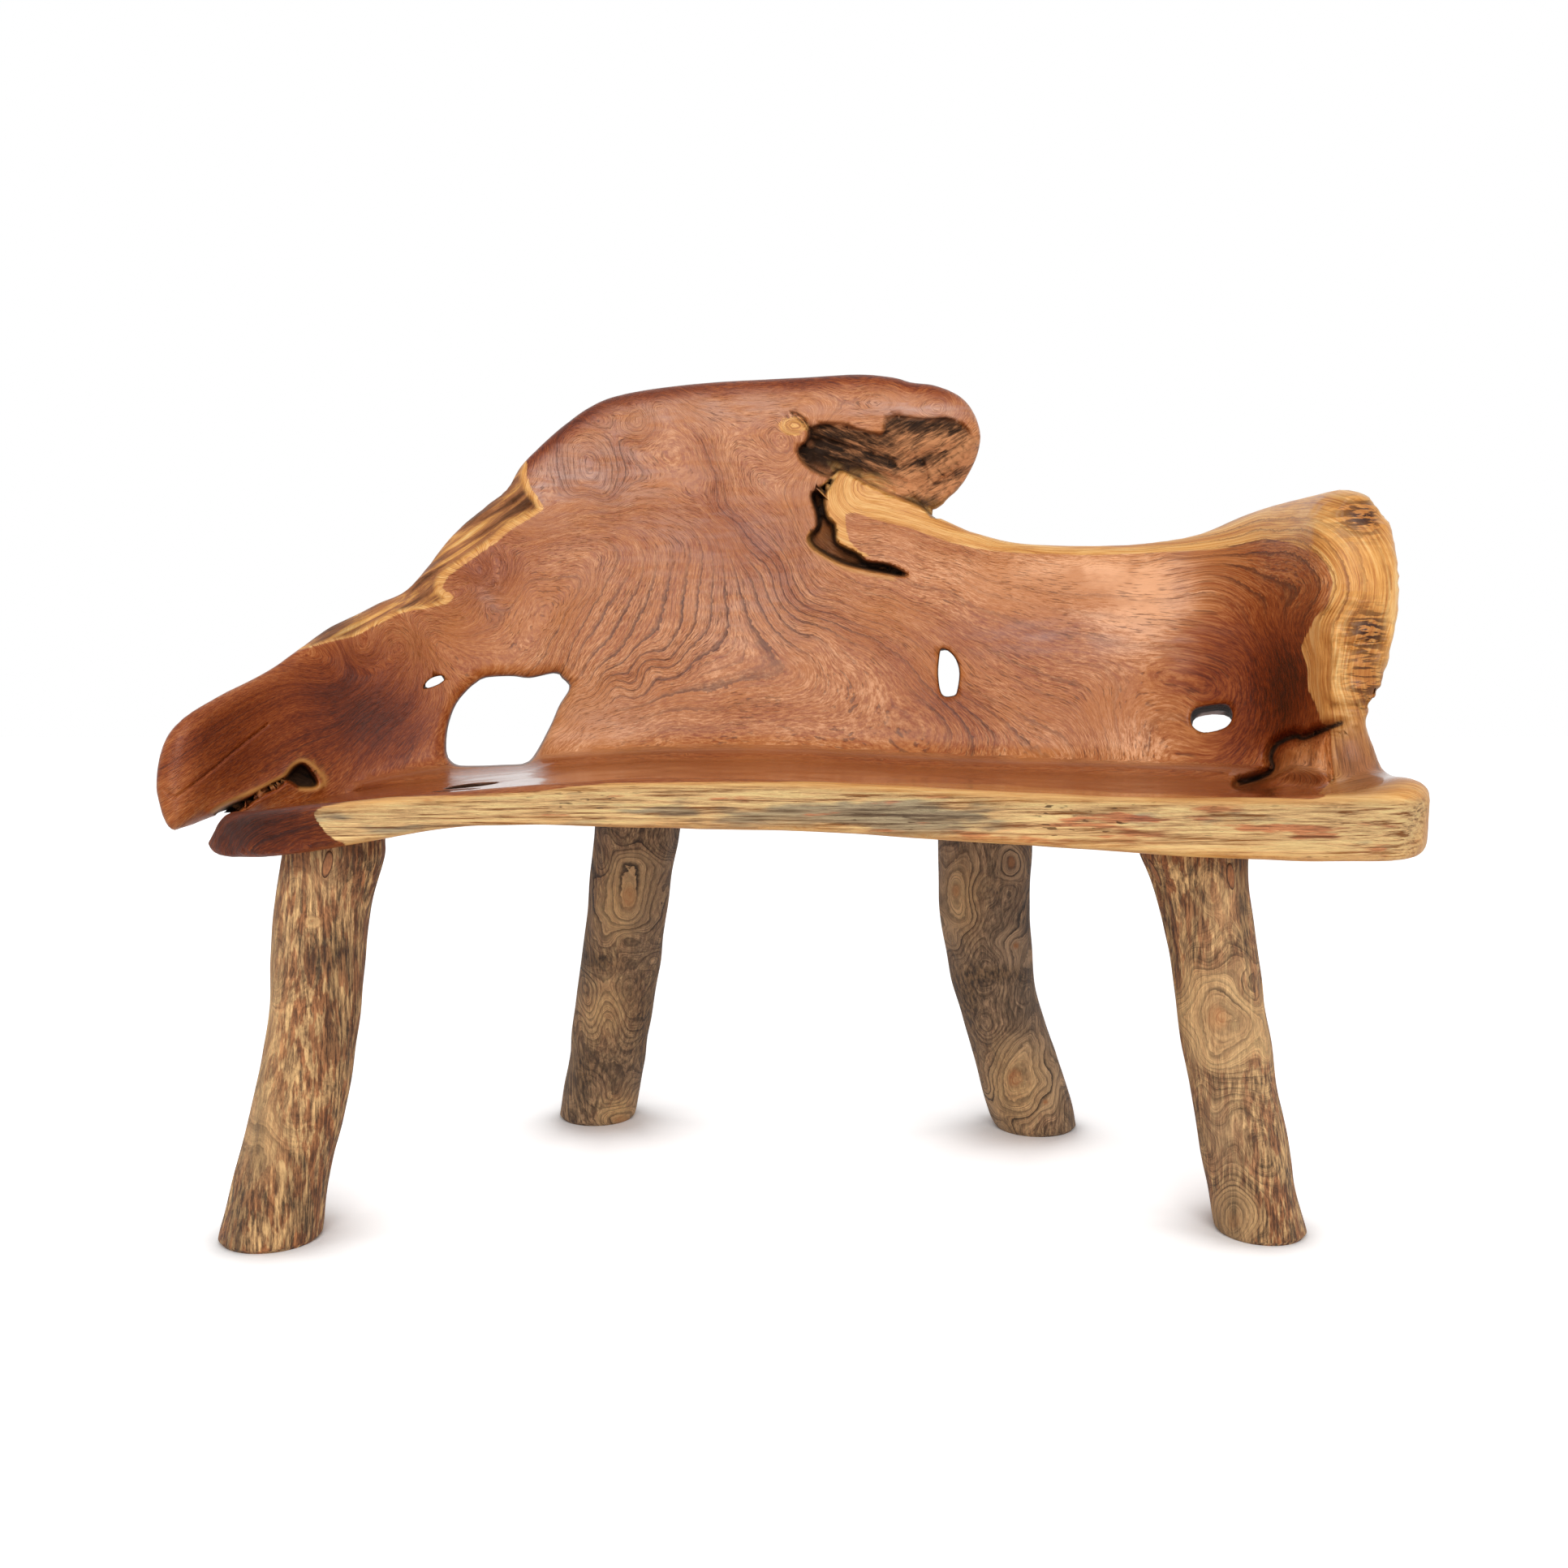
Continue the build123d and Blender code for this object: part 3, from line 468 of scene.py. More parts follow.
def inside_loop(points, loop):
    """Even-odd test: a point is inside when a ray to the right crosses the loop an odd number of times."""
    inside = np.zeros(len(points), bool)
    x, y = points.T
    for (x0, y0), (x1, y1) in zip(loop, np.roll(loop, -1, 0)):
        if y0 == y1:
            continue
        crosses = (y0 > y) != (y1 > y)
        inside ^= crosses & (x < (x1 - x0) * (y - y0) / (y1 - y0) + x0)
    return inside


class Table:
    """Values of a function of two parameters on a regular grid, read back between its points bilinearly."""

    def __init__(self, low, high, step, function):
        self.low, self.step = np.array(low, float), step
        axes = [np.arange(a, b + step, step) for a, b in zip(low, high)]
        mesh = np.stack(np.meshgrid(*axes, indexing="ij"), -1)
        self.values = np.asarray(function(mesh.reshape(-1, 2))).reshape(mesh.shape[:2]).astype(np.float32)

    def __call__(self, a, b):
        rows, columns = self.values.shape
        u = np.clip((a - self.low[0]) / self.step, 0, rows - 1.001)
        v = np.clip((b - self.low[1]) / self.step, 0, columns - 1.001)
        i, j = u.astype(np.int32), v.astype(np.int32)
        u, v = u - i, v - j
        flat = self.values.ravel()
        k = i * columns + j
        near = flat[k] * (1 - v) + flat[k + 1] * v
        far = flat[k + columns] * (1 - v) + flat[k + columns + 1] * v
        return near * (1 - u) + far * u


def loop_table(points, step, margin=60.0, closed=True):
    """Signed distance to a smoothed loop, negative inside (or plain distance to an open line), as a table."""
    loop = curve(points, closed=closed) if closed != "sharp" else np.array(points, float)

    def signed(places):
        gap = line_distance(places, loop, closed=bool(closed))[0]
        return np.where(inside_loop(places, loop), -gap, gap) if closed else gap
    return Table(loop.min(0) - margin, loop.max(0) + margin, step, signed)


def eased(knots, blur=26.0, step=2.0):
    """Straight runs between (position, value) knots, softened by a bell-shaped blur."""
    place = np.arange(knots[0][0] - 4 * blur, knots[-1][0] + 4 * blur, step)
    positions, values = zip(*knots)
    raw = np.interp(place, positions, values)
    reach = np.arange(-3 * blur, 3 * blur + step, step)
    weights = np.exp(-((reach / blur) ** 2) / 2)
    soft = np.convolve(np.pad(raw, len(reach) // 2, mode="edge"), weights / weights.sum(), mode="valid")
    return lambda x: np.interp(x, place, soft[:len(place)])


def lump_noise(points, size, seed):
    """Smooth noise from -1 to 1: random numbers on a lattice of this size, eased between its corners."""
    table = np.random.default_rng(seed).uniform(-1, 1, 4096)
    q = points / size
    cell = np.floor(q).astype(np.int64)
    f = q - cell
    f = f * f * (3 - 2 * f)
    total = 0.0
    for corner in np.ndindex(2, 2, 2):
        key = ((cell + corner) * (73856093, 19349663, 83492791))
        value = table[(key[..., 0] ^ key[..., 1] ^ key[..., 2]) & 4095]
        weight = np.prod(np.where(corner, f, 1 - f), -1)
        total = total + value * weight
    return total


def chart(points):
    """Where points in the modelling frame fall on the front chart, seen from EYE."""
    x, y, z = np.moveaxis(points - EYE, -1, 0)
    return CHART_SIZE / 2 + CHART_FOCAL * x / y, CHART_LEVEL - CHART_FOCAL * z / y


# ---------------------------------------------------------------- the shell as a distance field
def wall_tables():
    """Two tables over (X, Y at seat level): distance from the wall's middle line, positive towards the
    sitters, and half the wall's thickness at the nearest point of that line."""
    line = curve(WALL_PLAN, steps=8)
    first, last = line[0] - (line[1] - line[0]) * 60, line[-1] + (line[-1] - line[-2]) * 30
    first[2], last[2] = line[0, 2], line[-1, 2]
    line = np.vstack([first, line, last])

    def across(points):
        gap, span, _ = line_distance(points, line[:, :2])
        step = line[span + 1, :2] - line[span, :2]
        offset = points - line[span, :2]
        side = step[:, 1] * offset[:, 0] - step[:, 0] * offset[:, 1]
        return np.where(side > 0, gap, -gap)

    def half(points):
        _, span, share = line_distance(points, line[:, :2])
        return line[span, 2] * (1 - share) + line[span + 1, 2] * share

    return Table(*PLAN_SPAN, 5.0, across), Table(*PLAN_SPAN, 5.0, half)


# Tables of distances that the shell keeps: points, step, margin, and whether the line is closed
SHELL_LINES = {
    "big_hole": (BIG_HOLE, 2.0), "middle_hole": (MIDDLE_HOLE, 1.5), "small_hole": (SMALL_HOLE, 1.0),
    "right_hole": (RIGHT_HOLE, 1.5), "cavity": (CAVITY, 1.5, 30), "crevice": (CREVICE, 1.0, 30),
    "nose": (NOSE, 2.0, 40), "arm_shadow": (ARM_SHADOW, 1.0, 30), "arm_crack": (ARM_CRACK, 1.0, 20, False),
    "arm_rim": (ARM_RIM, 1.0, 20, False), "crevice_rim": (CREVICE_RIM, 1.0, 20, False),
    "corner_crack": (CORNER_CRACK, 1.0, 30, False), "corner_lump": (CORNER_LUMP, 1.0, 30),
    "wedge_crack": (WEDGE_CRACK, 1.0, 20, False),
    "fold": (np.vstack([curve(FOLD), FOLD_BEYOND]), 2.0, 40, "sharp"),
    "crest": (np.vstack([curve(BACK_CREST), curve(WING_CREST), WALL_FOOT, curve(ARM_UNDERSIDE)]), 5.0, 60.0,
              "sharp"),
}


class Shell:
    """The root shell as one distance field: slab and leaning wall, blended, hollowed and pierced. It is made
    this way, and not as a grid, because its openings, crevice and rotted hollow leave no one surface that a
    pair of parameters could run over."""

    def __init__(self, sizes):
        self.hollow_depth, self.crevice_depth = sizes.hollow_depth / MM, sizes.crevice_depth / MM
        self.fold_depth, self.pit_depth = sizes.fold_depth / MM, sizes.pit_depth / MM
        self.rim_pits = sizes.rim_pits / MM
        self.across, self.half = wall_tables()
        stations = np.array(SLAB_STATIONS, float)
        x = stations[:, 0]
        self.front = eased(list(zip(x, SLAB_FRONT_Y + stations[:, 1])), 14)
        self.rear = eased(list(zip(x, stations[:, 2])))
        self.top = eased(list(zip(x, SEAT_Z + stations[:, 3])), 40)
        self.bottom = eased(list(zip(x, SEAT_Z - 2 + stations[:, 3] - stations[:, 4])), 40)
        for name, line in SHELL_LINES.items():
            setattr(self, name, loop_table(*line))
        self.hollow_strokes, self.rim_strokes = (
            [(high, wide, loop_table(line, 1.0, 24, closed=False)) for high, wide, line in strokes]
            for strokes in (HOLLOW_STROKES, RIM_STROKES))

    def detail(self, p):
        """How finely each place is to be meshed: 0 plain, over 0.35 half the spacing, over 0.7 a quarter."""
        cx, cy, _, across, half = self.place(p)
        show = (across > -half + 4) & (p[:, 1] < 230)
        deep = np.minimum.reduce([self.cavity(cx, cy), self.crevice(cx, cy), self.arm_shadow(cx, cy)])
        corner = np.minimum.reduce([self.corner_crack(cx, cy), self.corner_lump(cx, cy),
                                    self.wedge_crack(cx, cy)])
        fold = np.abs(self.fold(cx, cy) + 18) - 20
        need = np.maximum(smooth_step(20, 4, deep), smooth_step(22, 4, corner) * (p[:, 0] > 470))
        need = np.maximum(need, 0.9 * smooth_step(14, 4, fold + 4) * (p[:, 0] < -230) * (cy < 815))
        need = np.maximum(need, 0.6 * smooth_step(0.1, 0.3, patches(cx, cy, RAW_PATCHES)) * (p[:, 0] > 500))
        holes = np.minimum.reduce([np.abs(self.right_hole(cx, cy)), np.abs(self.middle_hole(cx, cy)),
                                   np.abs(self.small_hole(cx, cy))])
        need = np.maximum(need, 0.6 * np.maximum(smooth_step(8, 0, fold), smooth_step(12, 4, holes)))
        need = np.maximum(need, 0.9 * smooth_step(14, 7, self.arm_crack(cx, cy)))
        need = np.maximum(need, 0.9 * smooth_step(12, 7, self.small_hole(cx, cy)))
        need = np.maximum(need, smooth_step(23.4, 10.4, oval_gap(p[:, 0], p[:, 1], *SEAT_HOLE)))
        return need * show

    def place(self, p):
        """Chart position, and the place across the leaning wall, of each point."""
        cx, cy = chart(p)
        lean = p[..., 1] - BACK_LEAN * (p[..., 2] - SEAT_Z)
        across = self.across(p[..., 0], lean)
        half = self.half(p[..., 0], lean)
        return cx, cy, lean, across, half

    def slab(self, p):
        """Distance to the seat slab: the largest of its sides' distances, with rounded meetings."""
        x, y, z = np.moveaxis(p, -1, 0)
        rise = BUTTRESS_RISE * spot(x, y, *BUTTRESS)
        ridge = RIDGE_RISE * bell(y - self.front(x) - RIDGE_BACK, RIDGE_WIDTH) - SEAT_DISH
        tip = SLAB_STATIONS[0][0] + TIP_SLOPE * np.maximum(z - SEAT_Z + TIP_DROP, 0) - x
        ends = smooth_max(tip, x - SLAB_STATIONS[-1][0] - END_MARGIN, 10)
        top = z - self.top(x) - rise - ridge
        face = self.front(x) - y + FACE_LEAN * (self.top(x) - z)
        sides = smooth_max(y - self.rear(x), ends, REAR_ROUND)
        plan = smooth_max(face, sides, 24 + 32 * smooth_step(-520, -440, x))
        plan = smooth_max(plan, (p - FACET) @ FACET_NORMAL, SHARP)
        under = smooth_max(self.bottom(x) - z, plan, BOTTOM_ROUND)
        return smooth_max(smooth_max(top, plan, TOP_ROUND), under, SHARP)

    def flutes(self, p):
        """Long ridges and grooves down the fold, from -1 to 1."""
        along = p[..., 0] * 0.83 + p[..., 2] * 0.56
        across = p[..., 2] * 0.83 - p[..., 0] * 0.56
        return 0.7 * lump_noise(np.stack([along / 9, p[..., 1] / 5, across], -1), 11, 6) \
            + 0.5 * lump_noise(np.stack([along / 7, p[..., 1] / 5, across], -1), 5, 7)

    def crust(self, p):
        """Fibrous lumps of the rotted wood, from -1 to 1. Its fibres fall to the right, then rise."""
        total = 0.35 * lump_noise(p, 9, 5)
        for (run, climb), share in zip(HOLLOW_FIBRES, (1 - self.swing(p), self.swing(p))):
            along, across = p[..., 0] * run + p[..., 2] * climb, p[..., 2] * run - p[..., 0] * climb
            total = total + share * (
                0.5 * lump_noise(np.stack([along / 4, p[..., 1] / 9, across], -1), 13, 3)
                + 0.35 * lump_noise(np.stack([along / 3, p[..., 1] / 4, across], -1), 6, 4))
        return total

    def swing(self, p):
        """0 where the hollow's fibres fall to the right and 1 where they rise."""
        return smooth_step(112, 165, p[..., 0] + 0.3 * (p[..., 2] - 800))

    def strokes(self, cx, cy):
        """The ridges less the grooves of the hollow: a bell across each line."""
        return sum(high * bell(line(cx, cy), wide) for high, wide, line in self.hollow_strokes)

    def relief(self, cx, cy, p, fine):
        """How far the front of the wall stands back from its plain shape: hollows less raised parts."""
        cavity, crevice, fold = self.cavity(cx, cy), self.crevice(cx, cy), self.fold(cx, cy)
        down = smooth_step(520, 610, cy + 0.30 * (1100 - cx))
        depth = self.hollow_depth * (0.26 + 0.74 * down)
        back = depth * smooth_step(1.5, -4, cavity)
        back = np.maximum(back, self.crevice_depth * smooth_step(1.0, -7, crevice))
        turned = np.maximum(-fold, 0)
        back = np.maximum(back, self.fold_depth * (1 - np.exp(-turned / FOLD_RUN)))
        back = back - FOLD_LIP * bell(fold - 3, 9)
        back = back - NOSE_RISE * smooth_step(2, -10, self.nose(cx, cy)) * smooth_step(1250, 1120, cx)
        shadow = self.arm_shadow(cx, cy)
        back = np.maximum(back, ARM_GAP_DEPTH * smooth_step(1.5, -5, shadow))
        back = back - ARM_LIP * bell(shadow - 4, 5)
        back = back + ARM_CRACK_DEPTH * bell(self.arm_crack(cx, cy), 1.7)
        if fine:
            rot = smooth_step(0, -6, cavity)
            back = back + rot * (CRUST * self.crust(p) - self.strokes(cx, cy))
            back = back + smooth_step(4, 18, turned) * FLUTES * self.flutes(p)
            back = back + GROUND * smooth_step(0, -7, crevice) * lump_noise(p, 11, 8)
        return back

    def wall(self, p, fine):
        """Distance to the leaning wall: front and rear faces about the middle line, cut to the crest."""
        x, _, z = np.moveaxis(p, -1, 0)
        cx, cy, lean, across, half = self.place(p)
        tilt = np.cos(np.arctan(BACK_LEAN))
        front = (across - half + self.relief(cx, cy, p, fine)) * tilt
        rear = (-across - half - REAR_SWELL * smooth_step(470, 560, x)) * tilt
        end = np.where(x > 0, WING_END_Y, ARM_END_Y) - lean
        rim = 20 + 26 * smooth_step(250, 480, x)
        body = smooth_max(front, rear, 10)
        body = smooth_max(body, self.crest(x, z - SEAT_Z), rim)
        return smooth_max(body, end, np.where(x > 0, 44, 26))

    def __call__(self, p, fine=False):
        x, y, z = np.moveaxis(p, -1, 0)
        cx, cy, lean, across, half = self.place(p)
        cove = 4 + 40 * smooth_step(-560, -360, x) * (1 - 0.5 * smooth_step(540, 600, x))
        body = smooth_min(self.slab(p), self.wall(p, fine), cove)
        behind = across - half < 60
        body = smooth_max(body, np.where(behind, -CHART_SLOPE * self.big_hole(cx, cy), -400.0), 14)
        body = smooth_max(body, -CHART_SLOPE * self.middle_hole(cx, cy), 5)
        body = smooth_max(body, 0.6 - CHART_SLOPE * self.small_hole(cx, cy), 2)
        behind = np.clip(half - across, -30, 140)
        shifted = self.right_hole(cx - RIGHT_HOLE_DRIFT[0] * behind, cy - RIGHT_HOLE_DRIFT[1] * behind)
        body = smooth_max(body, -CHART_SLOPE * shifted, 6)

        near = smooth_step(470, 500, x) * smooth_step(150, 110, y)
        shallow, more = CORNER_CRACK_DEPTH
        body = body - near * LUMP_RISE * smooth_step(5, -22, self.corner_lump(cx, cy))
        body = body + (near * (shallow + more * smooth_step(1652, 1615, cx))
                       * bell(self.corner_crack(cx, cy), 7.5))
        body = body + near * WEDGE_DEPTH * bell(self.wedge_crack(cx, cy), 2.5)
        for oval, depth, lip in ((SEAT_HOLE, self.pit_depth, 2), (SEAT_SLIT, SLIT_DEPTH, 1.5)):
            body = smooth_max(body, np.minimum(-oval_gap(x, y, *oval), z - self.top(x) + depth), lip)
        if fine:
            body = body + 1.6 * lump_noise(p, 110, 1) + 0.5 * lump_noise(p, 38, 2)
            face = smooth_step(10, -10, y - self.front(x) - 16) * smooth_step(6, -8, z - self.top(x))
            streak = np.stack([x / 7, y, z], -1)
            body = body + face * (1.3 * lump_noise(streak, 12, 9) + 0.8 * lump_noise(streak, 5, 10))
            rim = smooth_step(470, 560, x) * smooth_step(-60, -96, lean) * smooth_step(10, 60, z - SEAT_Z)
            body = body + rim * lump_noise(p / np.array([4.0, 2.0, 1.0]), 7, 11)
            edge = smooth_step(520, 560, x)
            pit = smooth_step(0.35, 0.6, patches(cx, cy, RAW_PATCHES)) * edge
            body = body + pit * (self.rim_pits + 1.6 * lump_noise(p / np.array([5.0, 2.0, 1.0]), 5, 12))
            body = body - edge * sum(high * bell(line(cx, cy), wide) for high, wide, line in self.rim_strokes)
        return body


def surface_net(values, axes):
    """A mesh of a field's zero surface on a grid. Each mixed cell gets one corner at the mean of the
    places where its edges cross zero, and each crossed grid edge gets a face through its four cells."""
    inside = values < 0
    nx, ny, nz = values.shape
    count = np.zeros((nx - 1, ny - 1, nz - 1), np.int8)
    for i, j, k in np.ndindex(2, 2, 2):
        count += inside[i:nx - 1 + i, j:ny - 1 + j, k:nz - 1 + k]
    cells = np.argwhere((count > 0) & (count < 8))
    number = np.full(count.shape, -1, np.int32)
    number[tuple(cells.T)] = np.arange(len(cells))

    corners = list(np.ndindex(2, 2, 2))
    value = {c: values[tuple((cells + c).T)] for c in corners}
    place = {c: np.stack([axes[a][cells[:, a] + c[a]] for a in range(3)], -1) for c in corners}
    total = np.zeros((len(cells), 3))
    hits = np.zeros(len(cells))
    for a in range(3):
        for low in corners:
            if low[a]:
                continue
            high = tuple(c + (n == a) for n, c in enumerate(low))
            crossed = (value[low] < 0) != (value[high] < 0)
            t = value[low] / np.where(crossed, value[low] - value[high], 1)
            point = place[low] + (place[high] - place[low]) * t[:, None]
            total += np.where(crossed[:, None], point, 0)
            hits += crossed
    vertices = total / hits[:, None]

    faces = []
    for a in range(3):
        b, c = (a + 1) % 3, (a + 2) % 3
        low = [slice(1, -1)] * 3
        high = list(low)
        low[a], high[a] = slice(0, -1), slice(1, None)
        first, second = inside[tuple(low)], inside[tuple(high)]
        for leaving, order in ((first & ~second, (0, 1, 2, 3)), (~first & second, (3, 2, 1, 0))):
            edges = np.argwhere(leaving)
            edges[:, b] += 1
            edges[:, c] += 1
            ring = []
            for step_b, step_c in ((1, 1), (0, 1), (0, 0), (1, 0)):
                cell = edges.copy()
                cell[:, b] -= step_b
                cell[:, c] -= step_c
                ring.append(number[tuple(cell.T)])
            faces.append(np.stack([ring[n] for n in order], -1))
    return vertices, np.vstack(faces)


def gradient(field, points, reach=1.5):
    """Slope of the field at points, from its values a little way off along each axis."""
    corners = np.array([(1, 1, 1), (1, -1, -1), (-1, 1, -1), (-1, -1, 1)])
    return sum(field(points + corner * reach)[:, None] * corner for corner in corners) / (4 * reach)


def settle(field, points, rounds=2):
    """Points moved along the field's slope onto its zero surface."""
    for _ in range(rounds):
        slope = gradient(field, points)
        points = points - slope * (field(points) / np.maximum((slope**2).sum(-1), 0.05))[:, None]
    return points


# ---------------------------------------------------------------- meshes
def refine(vertices, faces, chosen):
    """Triangles split so that every edge with both ends chosen gets a corner at its middle: a triangle with
    three chosen corners becomes four, and one with two becomes two."""
    pick = chosen[faces]
    count = pick.sum(1)
    lone = np.argmin(pick[count == 2], 1)
    two = np.take_along_axis(faces[count == 2], (lone[:, None] + [1, 2, 0]) % 3, 1)
    three = faces[count == 3]
    edges = np.vstack([two[:, :2], three[:, [0, 1]], three[:, [1, 2]], three[:, [2, 0]]])
    pairs, number = np.unique(np.sort(edges, 1), axis=0, return_inverse=True)
    middle = len(vertices) + number.reshape(-1)
    m, (ab, bc, ca) = middle[:len(two)], middle[len(two):].reshape(3, -1)
    a, b, c = three.T
    split = [(two[:, 0], m, two[:, 2]), (m, two[:, 1], two[:, 2]), (a, ab, ca), (ab, b, bc), (ca, bc, c),
             (ab, bc, ca)]
    return (np.vstack([vertices, vertices[pairs].mean(1)]),
            np.vstack([faces[count < 2]] + [np.stack(corners, -1) for corners in split]))


def mesh_object(name, vertices, faces, values=None, normals=None):
    """An object in the scene from corners in the modelling frame, faces of three or four corners, values
    kept on the corners, and the way each corner faces."""
    mesh = bpy.data.meshes.new(name)
    corners = (vertices + SHIFT) * MM
    mesh.vertices.add(len(corners))
    mesh.vertices.foreach_set("co", corners.ravel())
    mesh.loops.add(faces.size)
    mesh.loops.foreach_set("vertex_index", faces.ravel())
    mesh.polygons.add(len(faces))
    mesh.polygons.foreach_set("loop_start", np.arange(0, faces.size, faces.shape[1]))
    mesh.update(calc_edges=True)
    for key, value in (values or {}).items():
        mesh.attributes.new(key, "FLOAT", "POINT").data.foreach_set("value", value.astype(np.float32))
    mesh.shade_smooth()
    if normals is not None:
        mesh.normals_split_custom_set_from_vertices(normals)
    piece = bpy.data.objects.new(name, mesh)
    bpy.context.collection.objects.link(piece)
    return piece


def tube_faces(rows, columns):
    """Quads of a grid whose columns run round and close on themselves."""
    i, j = np.meshgrid(np.arange(rows - 1), np.arange(columns), indexing="ij")
    near, far = i * columns + j, i * columns + (j + 1) % columns
    return np.stack([near, far, far + columns, near + columns], -1).reshape(-1, 4)


# ---------------------------------------------------------------- the wood's figure
def thin_plate(points, values, stiffness):
    """A smooth function through scattered values: r^2 log r about every point, and a plane."""
    scale = 400.0
    p = points / scale

    def bend(a, b):
        r2 = ((a[:, None, :] - b[None, :, :]) ** 2).sum(-1)
        return 0.5 * r2 * np.log(r2 + 1e-9)
    n = len(p)
    plane = np.hstack([np.ones((n, 1)), p])
    system = np.zeros((n + 3, n + 3))
    system[:n, :n] = bend(p, p) + stiffness * np.eye(n)
    system[:n, n:] = plane
    system[n:, :n] = plane.T
    weights = np.linalg.solve(system, np.append(values, [0, 0, 0]))

    def field(q):
        q = q / scale
        return bend(q, p) @ weights[:n] + weights[n] + q @ weights[n + 1:]
    return field


def growth_table():
    """Growth levels over the chart, drawn smoothly through the points of GROWTH."""
    points = np.vstack([np.array(line, float) for _, line in GROWTH])
    levels = np.concatenate([np.full(len(line), level, float) for level, line in GROWTH])
    return Table(*CHART_SPAN, 8.0, thin_plate(points, levels, 2e-4))


def shell_figure(shell, p):
    """The values that the root wood's material reads at each corner of the shell."""
    x, y, z = p.T
    cx, cy, _, across, half = shell.place(p)
    on_seat = smooth_step(-8, 8, shell.wall(p, False) - shell.slab(p))
    rear = smooth_step(-0.3, -0.7, across / half) * (1 - on_seat)
    chart_growth = growth_table()(cx, cy)
    chart_growth = np.minimum(chart_growth, WING_LEVEL + WING_SHARE * (chart_growth - WING_LEVEL))
    seat_growth = 12 + (y + 215) / 8.5 + 1.4 * lump_noise(p * np.array([1, 3, 1]), 260, 21) + (z - SEAT_Z) / 9
    growth = chart_growth + (seat_growth - chart_growth) * on_seat

    edge, wing, front = (loop_table(loop, 2.0, 30, closed="sharp")(cx, cy)
                         for loop in (SAP_LOOP, SAP_WING, SAP_FRONT))
    turned = np.maximum(-shell.fold(cx, cy), 0) * (x < -200)
    knot = np.hypot((cx - PALE_KNOT[0]) / PALE_KNOT[2], (cy - PALE_KNOT[1]) / PALE_KNOT[3])
    wall_sap = np.maximum(-np.minimum(edge, wing), np.where(x < 150, np.minimum(0.4, 12 * (1 - knot)), -99.0))
    growth = growth + 5 * smooth_step(1.1, 0.0, knot) * (1 - on_seat)
    seat_sap = np.where(x > 520, -np.minimum(front, wing), -front)
    seat_sap = np.where((z < shell.top(x) - 26) & (y > -150), -10.0, seat_sap)
    sap = wall_sap + (seat_sap - wall_sap) * smooth_step(0.35, 0.65, on_seat)
    sap = sap + rear * (14 * lump_noise(p, 90, 22) - 4)

    rot = smooth_step(1.0, -3.0, shell.cavity(cx, cy)) * (1 - rear)
    # Painted shade where shade falls in recesses: the crevice, the arm's gap, the corner crack, the seat's
    # pit and slit, and inside the right hole
    recess_shade = smooth_step(0.5, -3.0, shell.crevice(cx, cy)) * (1 - rear)
    recess_shade = np.maximum(recess_shade, smooth_step(0.5, -3, shell.arm_shadow(cx, cy)) * (1 - on_seat))
    recess_shade = np.maximum(recess_shade, smooth_step(4.5, 1.5, shell.corner_crack(cx, cy)) * (y < 150))
    rims = np.minimum.reduce([np.abs(shell.big_hole(cx, cy)), np.abs(shell.middle_hole(cx, cy)),
                              np.abs(shell.small_hole(cx, cy))])
    for oval in (SEAT_HOLE, SEAT_SLIT):
        recess_shade = np.maximum(recess_shade, smooth_step(2.5, 0.5, oval_gap(x, y, *oval))
                           * smooth_step(-1.6, -3.0, z - shell.top(x)))
    inner = smooth_step(0.5, -1.0, np.abs(shell.right_hole(cx, cy)) - 9) * (shell.right_hole(cx, cy) < 1.5)
    recess_shade = np.maximum(recess_shade, inner * smooth_step(4, 12, half - across) * (x > 380) * (1 - on_seat))
    # The hollow's colour: its tones, made darker in the crust's deep places and lighter on the ridges as
    # painted shade and highlight that follow the relief
    rot_and_painted_light = 0.60 + patches(cx, cy, HOLLOW_TONES_AND_SHADOW) - 0.50 * shell.crust(p) + 0.05 * shell.strokes(cx, cy)
    # Painted sheen: pale patches over the back where the polish would reflect the light; grey, flush and dull
    # are the wood's own colour
    painted_sheen, grey, flush, dull = (np.clip(patches(cx, cy, spots), 0, 1)
                                for spots in (PAINTED_SHEEN, FRONT_GREY, FRONT_FLUSH, DULL_SPOTS))
    # Painted highlight along the ridge at the top of the front edge
    edge_highlight = spot(y - shell.front(x), z - shell.top(x), 9, 0, 8, 8) * on_seat * (x > -420)
    crest = (smooth_step(-30, -4, shell.crest(x, z - SEAT_Z)) * smooth_step(-362, -335, x)
             * smooth_step(236, 190, x))
    painted_sheen = painted_sheen * (1 - on_seat) * (1 - rear) * (1 - crest)
    # tone holds the heartwood's own lighter and darker places together with painted highlights on the lit
    # bulges and painted shade in the bowl at the right
    tone = 0.70 + (patches(cx, cy, HEART_AND_LIGHT_TONES) - 0.42 * crest) * (1 - on_seat) \
        + on_seat * (patches(cx, cy, SEAT_TONES) - 0.16)
    band = bell(chart_growth - 1.5, 2.2) * (1 - on_seat) * (1 - rear) * smooth_step(500, 560, cy) * (x < 250)
    tone = tone - 0.10 * band
    lines = np.clip(0.24 + patches(cx, cy, LINE_SPOTS) + 0.4 * band, 0, 1)
    lines = lines * (1 - rear) + 0.4 * rear + 0.3 * on_seat
